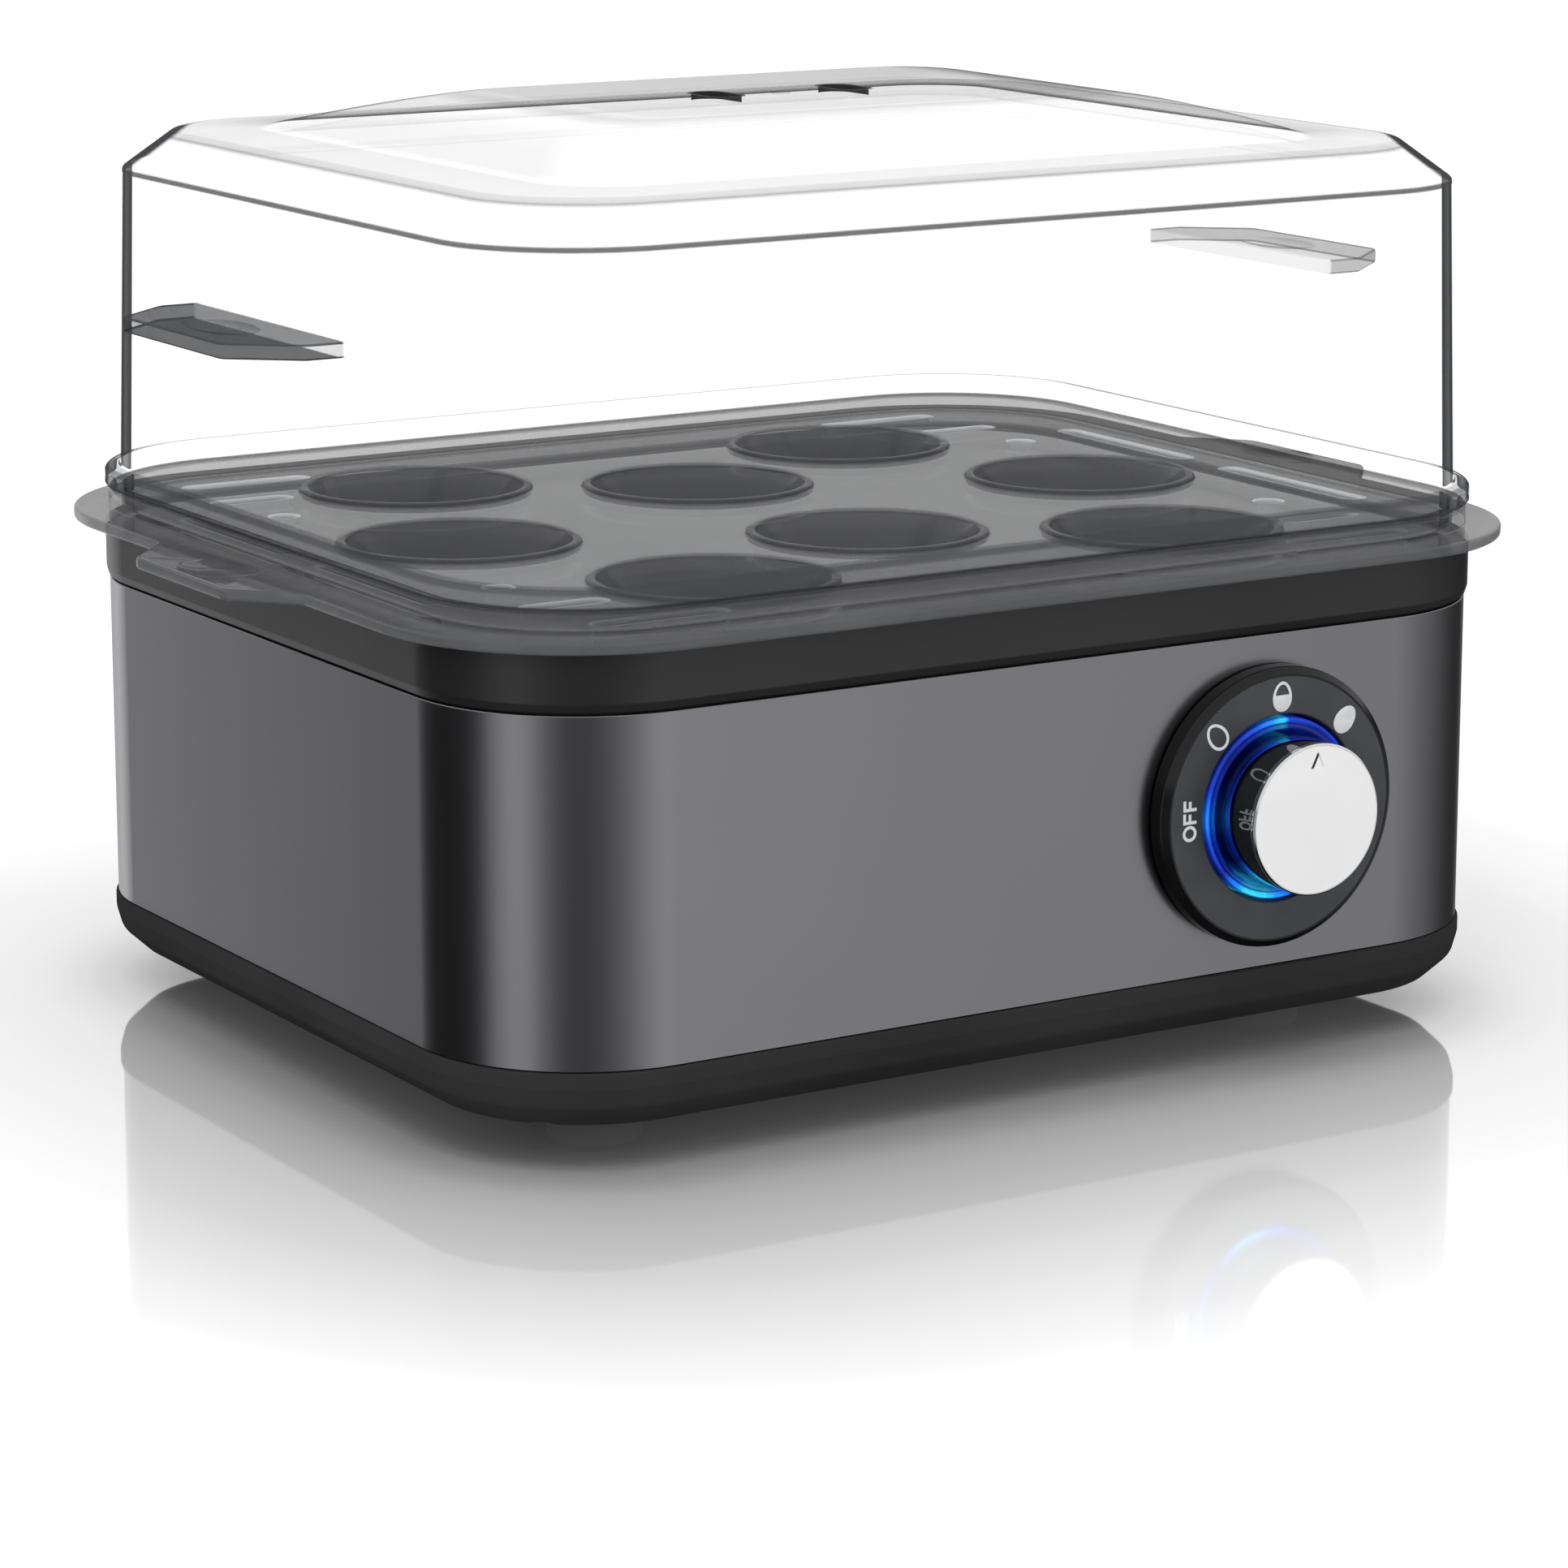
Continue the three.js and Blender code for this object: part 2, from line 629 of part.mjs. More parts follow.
function addScrewsUp(name, places, top) {
  addCopies(name, places, () => turned([
    [0, top - clampScrew.headHeight],
    [clampScrew.head, top - clampScrew.headHeight],
    [clampScrew.head, top],
    [clampScrew.shank, top],
    [clampScrew.shank, top + clampScrew.grip],
    [0, top + clampScrew.grip],
  ], smallTurn), finish.zinc);
}

function makeClamps() {
  addCopies('element_clamp', clampPlaces, () => (
    bar(clamp.length, clamp.width, clamp.thickness, clampTop, clamp.screwSpan, clamp.hole)
  ), finish.zinc);
  addScrewsUp('clamp_screw', clampScrewPlaces, clampTop - clamp.thickness - fitGap);
}

function makeThermostat() {
  const top = bowlUnder - fitGap;
  const low = top - thermostat.height;
  const capLow = low - thermostat.capHeight;
  const body = turned([
    [0, capLow],
    [thermostat.capRadius, capLow],
    [thermostat.capRadius, low],
    [thermostat.radius, low],
    [thermostat.radius, top],
    [0, top],
  ]);
  const blades = [-1, 1].map((side) => (
    block(blade.thickness, blade.width, capLow - blade.height, capLow + thermostat.capHeight / 2)
      .translate((side * blade.gap) / 2, 0, 0)
  ));
  const all = [body, ...blades].map((geometry) => geometry.translate(thermostat.x, thermostat.y, 0));
  addPart('thermostat', joined(all), finish.plasticGrey);

  const strapLevel = strapTop - fitGap;
  const strip = bar(strap.length, strap.width, strap.thickness, strapLevel, strap.screwSpan, clamp.hole);
  const window = rod(thermostat.capRadius + fitGap, strapLevel - overrun, strapLevel + overrun);
  addPart('thermostat_strap', solidAt(cut(solid(strip), [window]), thermostat.x, thermostat.y), finish.zinc);
  addScrewsUp('strap_screw', strapScrewPlaces, strapLevel - strap.thickness - fitGap);
}

function solidAt(body, x, y) {
  return solid(surface(body).translate(x, y, 0));
}

function makeFuse() {
  const level = bowlUnder - fitGap - fuse.radius;
  const half = fuse.length / 2;
  const end = half + fuse.lead;
  const body = turned([
    [0, -end],
    [fuse.leadRadius, -end],
    [fuse.leadRadius, -half],
    [fuse.radius, -half],
    [fuse.radius, half],
    [fuse.leadRadius, half],
    [fuse.leadRadius, end],
    [0, end],
  ], smallTurn);
  addPart('thermal_fuse', solid(body.rotateX(Math.PI / 2).translate(fuse.x, fuse.y, level)), finish.ceramic);
}

// Rotary control, built on its own axis

function makeDial() {
  const recess = lightRing.radius + fitGap;
  addPart('dial_plate', solid(turned([
    [recess, -dial.hubDepth],
    [dial.hubRadius, -dial.hubDepth],
    [dial.hubRadius, dialBack],
    [dial.radius, dialBack],
    [dial.radius, dialBack + dial.side],
    [dial.faceRadius, dialFace],
    [recess, dialFace],
  ], fineTurn)), finish.dial, control);
  addPart('light_ring', solid(turned([
    [lightRing.hole, -dial.hubDepth],
    [lightRing.radius, -dial.hubDepth],
    [lightRing.radius, ringFace],
    [lightRing.radius - lightRing.width, ringFace],
    [lightRing.radius - lightRing.width, webFront],
    [lightRing.hole, webFront],
  ], fineTurn)), finish.blueGlow, control);
}

function makeKnob() {
  const bottom = webFront + fitGap + knob.edge;
  const boreRadius = shaft.radius + fitGap;
  addPart('knob_body', solid(turned([
    [boreRadius, bottom],
    [knob.radius - knob.edge, bottom],
    [knob.radius, bottom + knob.edge],
    [knob.radius, knobTop - knob.edge],
    [knob.radius - knob.edge, knobTop],
    [0, knobTop],
    [0, bottom + knob.bore],
    [boreRadius, bottom + knob.bore],
  ], fineTurn)), finish.glossBlack, control);
  const disc = solid(turned([
    [0, capBack],
    [knob.radius, capBack],
    [knob.radius, knobFace - knob.capEdge],
    [knob.radius - knob.capEdge, knobFace],
    [0, knobFace],
  ], fineTurn));
  const half = pointer.width / 2;
  const heel = pointer.place - pointer.height / 2;
  const mark = slab([
    new THREE.Vector2(-half, heel),
    new THREE.Vector2(half, heel),
    new THREE.Vector2(0, heel + pointer.height),
  ], knobFace - pointer.depth, knobFace + overrun);
  addPart('knob_cap', cut(disc, [mark]), finish.satinCap, control);
  addPart('timer_shaft', solid(rod(
    shaft.radius, timerBack + timer.depth - shaft.tail, bottom + knob.bore - fitGap,
  )), finish.zinc, control);
}

function makeTimer() {
  const half = timer.size / 2;
  const can = block(timer.size, timer.size, timerBack, timerFront);
  const neck = rod(bushing.radius, timerFront - timer.depth / 2, -bushing.reach);
  const well = rod(shaft.radius + fitGap, timerFront - shaft.tail - fitGap, overrun);
  addPart('timer_body', cut(joined([can, neck]), [well]), finish.plasticGrey, control);

  const back = bracketFront + fitGap;
  addPart('timer_nut', cut(
    solid(rod(nut.radius, back, back + nut.thickness, hexSides)),
    [rod(bushing.radius + fitGap, back - overrun, back + overrun)],
  ), finish.zinc, control);

  addPart('led_board', solid(tubeRing(
    ledBoard.outer, nut.radius + fitGap, boardBack, boardFront,
  )), finish.greenBoard, control);
  for (let i = 0; i < led.count; i += 1) {
    const angle = (i * 2 * Math.PI) / led.count;
    const chip = block(led.width, led.length, ledBack, ledFront).translate(led.ring, 0, 0).rotateZ(angle);
    addPart(`indicator_led_${i + 1}`, solid(chip), finish.led, control);
  }
}

// Bracket that stands on the base and carries the control

const bracketFootUnder = floorTop + bracket.standoff + fitGap;
const bracketFrontY = -halfDepth - bracketFront;
const bracketBackY = bracketFrontY + bracket.thickness;

function bracketHoles() {
  const y = bracketBackY + bracket.screwInset;
  return [[dialX - bracket.screwX, y], [dialX + bracket.screwX, y]];
}

function makeBracket() {
  const middleY = (bracketFrontY + bracketBackY) / 2;
  const wall = block(bracket.width, bracket.thickness, bracketFootUnder, dialZ + bracket.above)
    .translate(dialX, middleY, 0);
  const reach = bracket.footDepth + bracket.thickness;
  const ledge = block(bracket.width, reach, bracketFootUnder, bracketFootUnder + bracket.footHeight)
    .translate(dialX, bracketFrontY + reach / 2, 0);
  const neckHole = rod(bushing.radius + fitGap, -overrun, overrun)
    .rotateX(Math.PI / 2)
    .translate(dialX, middleY, dialZ);
  const screwHole = smallScrew.shank + fitGap;
  const holes = copies(bracketHoles(), () => (
    rod(screwHole, bracketFootUnder - overrun, bracketFootUnder + overrun, smallTurn)
  ));
  addPart('control_bracket', cut(joined([wall, ledge]), [neckHole, ...holes]), finish.plasticGrey);
  const under = bracketFootUnder + bracket.footHeight + fitGap - smallScrew.grip;
  addCopies('bracket_screw', bracketHoles(), () => smallScrewAt(under), finish.zinc);
}

function smallScrewAt(under) {
  return screw(smallScrew.head, smallScrew.headHeight, smallScrew.shank, smallScrew.grip, under);
}

// Board and what stands on it

const boardSeat = floorTop + board.standoff;
const boardUnder = boardSeat + fitGap;
const boardTop = boardUnder + board.thickness;
const onBoard = boardTop + fitGap;
const relayTop = onBoard + relay.height;
const wireLevel = relayTop + wire.lift;

function boardHoles() {
  const x = board.width / 2 - board.holeInset;
  const y = board.depth / 2 - board.holeInset;
  return fourPlaces(x, y).map(([dx, dy]) => [board.x + dx, boardY + dy]);
}

function onBoardAt(geometry, place = { x: 0, y: 0 }) {
  return geometry.translate(board.x + place.x, boardY + place.y, 0);
}

function boxShape(width, depth) {
  return fourPlaces(width / 2, depth / 2).map(([x, y]) => new THREE.Vector2(x, y));
}

function makeBoard() {
  const plate = solid(onBoardAt(block(board.width, board.depth, boardUnder, boardTop)));
  const holes = copies(boardHoles(), () => (
    rod(smallScrew.shank + fitGap, boardUnder - overrun, boardTop + overrun, smallTurn)
  ));
  addPart('control_board', cut(plate, holes), finish.greenBoard);
  const under = boardTop + fitGap - smallScrew.grip;
  addCopies('board_screw', boardHoles(), () => smallScrewAt(under), finish.zinc);

  const relayBox = slab(boxShape(relay.width, relay.depth), onBoard, relayTop, relay.edge);
  addPart('relay', solid(onBoardAt(relayBox, relay)), finish.relayBlue);

  const can = turned([
    [0, onBoard],
    [capacitor.radius, onBoard],
    [capacitor.radius, onBoard + capacitor.height - capacitor.edge],
    [capacitor.radius - capacitor.edge, onBoard + capacitor.height],
    [0, onBoard + capacitor.height],
  ]);
  addPart('capacitor', solid(onBoardAt(can, capacitor)), finish.zinc);

  const top = onBoard + buzzer.height;
  const sounder = turned([
    [0, onBoard],
    [buzzer.radius, onBoard],
    [buzzer.radius, top - buzzer.edge],
    [buzzer.radius - buzzer.edge, top],
    [buzzer.hole, top],
    [buzzer.hole, top - buzzer.height / 2],
    [0, top - buzzer.height / 2],
  ]);
  addPart('buzzer', solid(onBoardAt(sounder, buzzer)), finish.glossBlack);

  const shell = solid(block(connector.width, connector.depth, onBoard, onBoard + connector.height));
  const inside = block(connector.width - 2 * connector.wall, connector.depth - 2 * connector.wall,
    onBoard + connector.wall, onBoard + connector.height + overrun);
  addPart('board_connector', solidAt(cut(shell, [inside]), connectorX, connectorY), finish.ceramic);
}

const terminalTop = floorTop + fitGap + terminals.height;

function makeTerminals() {
  const low = floorTop + fitGap;
  const body = solid(slab(boxShape(terminals.width, terminals.depth), low, terminalTop, terminals.corner));
  const wellFloor = terminalTop - terminals.boreDepth;
  const wells = copies([[-terminals.pitch, 0], [0, 0], [terminals.pitch, 0]], () => (
    rod(terminals.bore, wellFloor, terminalTop + overrun, smallTurn)
  ));
  addPart('terminal_block', solidAt(cut(body, wells), terminals.x, terminalY), finish.ceramic);
}

// Cable inlet in the back wall

function makeGland() {
  const place = (geometry) => geometry.rotateX(-Math.PI / 2).translate(gland.x, halfDepth, gland.z);
  addPart('cord_gland', solid(place(turned([
    [gland.bore, -gland.reach],
    [gland.body, -gland.reach],
    [gland.body, fitGap],
    [gland.flange, fitGap],
    [gland.flange, fitGap + gland.flangeDepth / 2],
    [gland.body, fitGap + gland.flangeDepth],
    [gland.bore, fitGap + gland.flangeDepth],
  ]))), finish.black);
  const front = innerFit - base.wall - fitGap;
  const ringPiece = cut(
    solid(place(rod(glandNut.radius, front - glandNut.depth, front, hexSides))),
    [place(rod(gland.body + fitGap, front - overrun - glandNut.depth, front + overrun))],
  );
  addPart('gland_nut', ringPiece, finish.black);
}

// Inner wires, each on its real route from terminal to terminal

function makeWires() {
  const start = terminalTop + fitGap;
  const right = terminals.x + terminals.pitch;
  const endZ = elementEnd - fitGap;
  const lead = (name, route, look) => {
    addPart(name, solid(tube(points3(route), wire.stub, wire.radius, wireSteps)), look);
  };
  lead('neutral_lead', [
    [right, terminalY, start],
    [right, terminalY, start + wire.stub],
    [element.endX, elementY, endZ - wire.stub],
    [element.endX, elementY, endZ],
  ], finish.wireBlue);
  lead('live_lead', [
    [terminals.x, terminalY, start],
    [terminals.x, terminalY, start + wire.stub],
    [connectorX, connectorY + connector.depth, wireLevel],
    [connectorX, connectorY, wireLevel],
    [connectorX, connectorY, onBoard + connector.wall + fitGap],
  ], finish.wireBrown);
  const bladeEnd = strapTop - thermostat.capHeight - blade.height - fitGap;
  const bladeLeft = thermostat.x - blade.gap / 2;
  const bladeRight = thermostat.x + blade.gap / 2;
  const relayX = board.x + relay.x;
  const relayY = boardY + relay.y;
  lead('heater_lead', [
    [relayX, relayY, relayTop + fitGap],
    [relayX, relayY, wireLevel + wire.stub],
    [bladeLeft, thermostat.y, bladeEnd - wire.stub],
    [bladeLeft, thermostat.y, bladeEnd],
  ], finish.wireRed);
  lead('link_lead', [
    [bladeRight, thermostat.y, bladeEnd],
    [bladeRight, thermostat.y, bladeEnd - wire.stub],
    [-element.endX, elementY, endZ - wire.stub],
    [-element.endX, elementY, endZ],
  ], finish.wireRed);
}

// Egg tray

function eggSeats() {
  const sideX = halfWidth - seatPlan.edgeX;
  const cornerY = halfDepth - seatPlan.edgeY;
  const middleY = cornerY - seatPlan.stepY;
  return [
    ...fourPlaces(sideX - seatPlan.stepX, cornerY),
    [-sideX, 0],
    [sideX, 0],
    [0, -middleY],
    [0, middleY],
  ];
}

function tabOutline(side, root, shoulder, reach, rootHalf, endHalf) {
  return [[root, rootHalf], [root, -rootHalf], [shoulder, -rootHalf], [reach, -endHalf], [reach, endHalf],
    [shoulder, rootHalf]].map(([x, y]) => new THREE.Vector2(side * x, y));
}

function dimple(x, z, sizes) {
  return new THREE.SphereGeometry(1, plainTurn, plainTurn / 2)
    .scale(sizes.dimpleX, sizes.dimpleY, sizes.dimple)
    .translate(x, 0, z);
}

function drainSlots() {
  const low = trayUnder - overrun;
  const high = deck + overrun;
  const slot = (length) => slab(stadium(length, drain.width, drainSteps), low, high);
  const places = (edgeX, edgeY) => fourPlaces(halfWidth - edgeX, halfDepth - edgeY);
  const sideMiddle = drain.sideStart + drain.sideLength / 2;
  return [
    ...copies(places(drain.outerCorner, drain.outerEdge), () => slot(drain.outerLength)),
    ...copies(places(drain.innerCorner, drain.innerEdge), () => slot(drain.innerLength)),
    ...copies(fourPlaces(halfWidth - drain.sideEdge, sideMiddle), () => (
      slot(drain.sideLength).rotateZ(Math.PI / 2)
    )),
    ...copies(places(drain.pipEdgeX, drain.pipEdgeY), () => rod(drain.pipRadius, low, high, smallTurn)),
  ];
}

function makeTray() {
  const plate = bodyStack([
    [tray.flange - tray.edge, trayUnder],
    [tray.flange, trayUnder + tray.edge],
    [tray.flange, deck - tray.edge],
    [tray.flange - tray.edge, deck],
  ]);
  const outer = -tray.upstandInset;
  const inner = outer - tray.upstandWall;
  const middle = (trayUnder + deck) / 2;
  const upstand = bodyLoop([
    [outer, middle],
    [outer, upstandTop - tray.upstandEdge],
    [outer - tray.upstandEdge, upstandTop],
    [inner + tray.upstandEdge, upstandTop],
    [inner, upstandTop - tray.upstandEdge],
    [inner, middle],
  ]);
  const root = flangeEdge - tray.flange / 2;
  const tabs = [-1, 1].map((side) => {
    const outline = tabOutline(side, root, flangeEdge, trayTabEnd, trayTab.rootHalf, trayTab.endHalf);
    return slab(outline, trayUnder, deck, trayTab.edge);
  });
  const seatLow = deck - tray.plate - seat.drop;
  const seatTop = deck + seat.lip;
  const cups = copies(eggSeats(), () => turned([
    [0, seatLow],
    [seat.lowRadius + seat.wall, seatLow],
    [seat.topRadius + seat.wall, trayUnder],
    [seat.topRadius + seat.wall, seatTop],
    [0, seatTop],
  ]));
  const slope = (seat.topRadius - seat.lowRadius) / (seatTop - seatLow);
  const wells = copies(eggSeats(), () => turned([
    [0, seatLow - overrun],
    [seat.lowRadius - slope * overrun, seatLow - overrun],
    [seat.topRadius + slope * overrun, seatTop + overrun],
    [0, seatTop + overrun],
  ]));
  const dimpleX = trayTabEnd - trayTab.dimpleX - trayTab.dimpleEdge;
  const dimples = [-1, 1].map((side) => dimple(side * dimpleX, deck, trayTab));
  const body = joined([plate, upstand, ...tabs, ...cups]);
  addPart('egg_tray', cut(body, [...wells, ...drainSlots(), ...dimples]), finish.smoky);
}

// Lid

function mix(from, to, share) {
  return from + (to - from) * share;
}

// The crown climbs in an arch from its left and right ends, and on a straight slope from front and back
function crownRing(share, drop) {
  const climb = 1 - (1 - share) ** 2;
  const halfX = halfWidth - crown.edgeX - crown.runX * share;
  const halfY = halfDepth - crown.edgeY - crown.runY * climb;
  const corner = mix(crown.corner, crown.topCorner, share);
  const z = ledgeTop + crown.rise * climb - drop;
  return roundedOutline(halfX, halfY, corner).map((p) => new THREE.Vector3(p.x, p.y, z));
}

function crownRings(drop) {
  const rings = [];
  for (let i = crownSteps; i >= 0; i -= 1) {
    rings.push(crownRing(i / crownSteps, drop));
  }
  return rings;
}

function makeLid() {
  const { wall, inset, topInset, topCorner, ledgeInset, ledgeCorner } = lid;
  const skirtOut = -(tray.upstandInset + tray.upstandWall + fitGap);
  const skirtLow = beadBottom - lid.skirt;
  const bead = lid.beadOverhang;
  const ledgeIn = ledgeInset + wall / 2;
  const shell = skin([
    ...crownRings(0),
    ring(-ledgeInset, ledgeTop, ledgeCorner),
    ring(-topInset, sideTop, topCorner),
    ring(-inset, beadTop),
    ring(0, beadTop - lid.beadEdge / 3),
    ring(bead, beadTop - 1.5 * lid.beadEdge),
    ring(bead, beadBottom + lid.beadEdge),
    ring(0, beadBottom),
    ring(skirtOut, beadBottom),
    ring(skirtOut, skirtLow),
    ring(skirtOut - wall, skirtLow),
    ring(-inset - wall, beadTop),
    ring(-topInset - wall, sideTop - wall / 3, topCorner - wall),
    ring(-ledgeIn, ledgeTop - wall, ledgeCorner - wall / 2),
    ...crownRings(wall).reverse(),
  ]);
  const tabLow = beadTop + lidTab.rise;
  const tabRise = (lidTab.rise + lidTab.thickness) / lid.side;
  const wallX = halfWidth - mix(inset, topInset, tabRise) - lidTab.root;
  const tabs = [-1, 1].map((side) => slab(
    tabOutline(side, wallX, lidTabEnd - lidTab.taper, lidTabEnd, lidTab.rootHalf, lidTab.endHalf),
    tabLow, tabLow + lidTab.thickness, lidTab.edge,
  ));
  const dimpleX = lidTabEnd - lidTab.dimpleX - lidTab.dimpleEdge;
  const dimples = [-1, 1].map((side) => dimple(side * dimpleX, tabLow + lidTab.thickness, lidTab));
  const slots = copies([[-vent.place, 0], [vent.place, 0]], () => (
    slab(stadium(vent.length, vent.width), ledgeTop, crownTop + overrun).rotateZ(Math.PI / 2)
  ));
  const gate = rod(vent.gateRadius, crownTop - vent.gateDepth, crownTop + overrun, smallTurn);
  addPart('lid', cut(joined([shell, ...tabs]), [...dimples, ...slots, gate]), finish.clear);
}

makeFeet();
makeBase();
makeBaseScrews();
makeBand();
makeCollar();
makeSeal();
makeBowl();
makeElement();
makeClamps();
makeThermostat();
makeFuse();
makeDial();
makeKnob();
makeTimer();
makeBracket();
makeBoard();
makeTerminals();
makeGland();
makeWires();
makeTray();
makeLid();

export default model;
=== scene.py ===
import math

import bmesh
import bpy
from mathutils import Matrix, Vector
from mathutils.geometry import tessellate_polygon


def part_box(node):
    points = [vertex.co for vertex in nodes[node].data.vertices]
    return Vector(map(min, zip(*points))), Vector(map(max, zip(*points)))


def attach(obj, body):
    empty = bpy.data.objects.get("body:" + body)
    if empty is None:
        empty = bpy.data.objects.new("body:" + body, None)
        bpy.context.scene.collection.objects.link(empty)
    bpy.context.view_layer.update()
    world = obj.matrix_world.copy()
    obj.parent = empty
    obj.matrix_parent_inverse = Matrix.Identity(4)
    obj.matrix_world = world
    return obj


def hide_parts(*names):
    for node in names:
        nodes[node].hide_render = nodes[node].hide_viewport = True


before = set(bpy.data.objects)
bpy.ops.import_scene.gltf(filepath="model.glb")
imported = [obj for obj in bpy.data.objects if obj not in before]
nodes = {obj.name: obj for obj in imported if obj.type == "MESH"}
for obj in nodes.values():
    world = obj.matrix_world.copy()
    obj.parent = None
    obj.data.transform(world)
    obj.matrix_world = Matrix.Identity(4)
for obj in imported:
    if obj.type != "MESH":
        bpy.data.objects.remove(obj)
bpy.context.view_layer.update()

# An egg boiler: a dark base and collar with a satin steel band between them, a lit rotary control,
# a smoky egg tray and a clear lid. Sizes are in millimetres about the middle of the body, with Z up
# from the table; every piece is then set into the frame in metres.

MM = 0.001
band_low, band_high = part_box("steel_band")
MIDDLE_Y = (band_low.y + band_high.y) / 2
HALF_X, HALF_Y, CORNER = 90.0, 75.25, 26.6
CORNER_STEPS = 18
ROUND_STEPS = 4
TURN_STEPS = 128

# Levels above the table: the band, the collar, the bowl, the tray and the lid
BAND_LOW, BAND_HIGH = 14.4, 65.6
COLLAR_LOW, COLLAR_TOP, SKIRT_LOW = 65.9, 74.8, 58.0
BOWL_UNDER, BOWL_RIM = 53.7, 74.5
UNDER, DECK, UPSTAND_TOP = 75.1, 76.9, 79.9
LID_FOOT, BEAD_LOW, BEAD_TOP, BEND, ROOF = 77.4, 80.2, 83.3, 129.9, 135.9

# The control's axis stands out of the front face, and the cable comes out of the back
DIAL_X, DIAL_Z = 38.9, 39.7
CABLE_Z, CABLE_RADIUS = 24, 5.3


# Outlines and profiles

def mix(a, b, share):
    return a + (b - a) * share


def rounded(rows, closed=True, steps=ROUND_STEPS, most=0.48):
    """Rounds the corners of a profile. A row is (numbers of the point, corner radius)."""
    made = []
    count = len(rows)
    for i, (here, radius) in enumerate(rows):
        ends = i in (0, count - 1) and not closed
        if ends or radius <= 0:
            made.append(tuple(here))
            continue
        before, after = rows[i - 1][0], rows[(i + 1) % count][0]
        back = Vector(before[:2]) - Vector(here[:2])
        ahead = Vector(after[:2]) - Vector(here[:2])
        angle = back.angle(ahead)
        reach = radius / math.tan(angle / 2)
        enter = min(reach / back.length, most)
        leave = min(reach / ahead.length, most)
        weight = math.sin(angle / 2)
        for k in range(steps + 1):
            t = k / steps
            a, b, c = (1 - t) ** 2, 2 * t * (1 - t) * weight, t * t
            total = a + b + c
            made.append(tuple(
                (a * mix(h, p, enter) + b * h + c * mix(h, n, leave)) / total
                for h, p, n in zip(here, before, after)
            ))
    return made


def body_row(grow, z, radius=0.0, corner=None):
    """A level ring of the body's outline, grown by an amount, as a profile row."""
    corner = CORNER + grow if corner is None else corner
    return (HALF_X + grow, z, HALF_Y + grow, corner), radius


def outline(half_x, half_y, corner, steps=CORNER_STEPS):
    """A rounded rectangle about the middle."""
    points = []
    for sx, sy, start in ((1, 1, 0), (-1, 1, 90), (-1, -1, 180), (1, -1, 270)):
        for k in range(steps + 1):
            a = math.radians(start + 90 * k / steps)
            x = sx * (half_x - corner) + corner * math.cos(a)
            y = sy * (half_y - corner) + corner * math.sin(a)
            points.append((x, y))
    return points


def ring(row):
    half_x, z, half_y, corner = row
    return [(x, y, z) for x, y in outline(half_x, half_y, corner)]


def at_level(points, z):
    return [(x, y, z) for x, y in points]


def ellipse(x, y, half_x, half_y, steps=48):
    turns = [2 * math.pi * k / steps for k in range(steps)]
    return [(x + half_x * math.cos(a), y + half_y * math.sin(a)) for a in turns]


def circle(radius, z, steps=TURN_STEPS, x=0.0, y=0.0):
    return at_level(ellipse(x, y, radius, radius, steps), z)


def slot_outline(x, y, length, width, along_y=False, steps=10):
    """A slot with round ends."""
    half, r = (length - width) / 2, width / 2
    points = []
    for side, start in ((1, -90), (-1, 90)):
        for k in range(steps + 1):
            a = math.radians(start + 180 * k / steps)
            points.append((side * half + r * math.cos(a), r * math.sin(a)))
    if along_y:
        points = [(-b, a) for a, b in points]
    return [(x + a, y + b) for a, b in points]


def offset(points, amount):
    """Moves a closed counter-clockwise outline outwards."""
    moved = []
    count = len(points)
    for i, here in enumerate(points):
        p, q = Vector(points[i - 1]), Vector(points[(i + 1) % count])
        before, after = Vector(here) - p, q - Vector(here)
        n1 = Vector((before.y, -before.x)).normalized()
        n2 = Vector((after.y, -after.x)).normalized()
        middle = (n1 + n2).normalized()
        stretch = min(1 / max(middle.dot(n1), 0.3), 2)
        moved.append((here[0] + middle.x * amount * stretch, here[1] + middle.y * amount * stretch))
    return moved


# Meshes made of strips between rings and of flat faces with holes

class Shape:
    def __init__(self):
        self.mesh = bmesh.new()

    def corners(self, points):
        return [self.mesh.verts.new(p) for p in points]

    def strip(self, rings, loop=False, material=0):
        rows = [self.corners(r) for r in rings]
        if loop:
            rows.append(rows[0])
        for low, high in zip(rows, rows[1:]):
            for k in range(len(low)):
                n = (k + 1) % len(low)
                face = self.mesh.faces.new((low[k], low[n], high[n], high[k]))
                face.material_index = material
        return self

    def fill(self, points, holes=(), material=0):
        loops = [[Vector(p) for p in points], *[[Vector(p) for p in h] for h in holes]]
        corners = self.corners([p for one in loops for p in one])
        if len(loops) == 1:
            self.mesh.faces.new(corners).material_index = material
            return self
        for a, b, c in tessellate_polygon(loops):
            if len({a, b, c}) == 3:
                self.mesh.faces.new((corners[a], corners[b], corners[c])).material_index = material
        return self

    def close(self, name, place=None):
        """Welds the strips and faces into one closed mesh, in the frame's metres."""
        bmesh.ops.remove_doubles(self.mesh, verts=self.mesh.verts, dist=1e-3)
        bmesh.ops.dissolve_degenerate(self.mesh, edges=self.mesh.edges, dist=1e-4)
        place = place or body_place
        for v in self.mesh.verts:
            v.co = place(*v.co)
        bmesh.ops.recalc_face_normals(self.mesh, faces=self.mesh.faces)
        data = bpy.data.meshes.new(name)
        self.mesh.to_mesh(data)
        self.mesh.free()
        return add_object(name, data)


def add_object(name, data):
    made = bpy.data.objects.new(name, data)
    bpy.context.scene.collection.objects.link(made)
    return made


def body_place(x, y, z):
    """From millimetres about the middle of the body."""
    return Vector((x * MM, y * MM + MIDDLE_Y, z * MM))


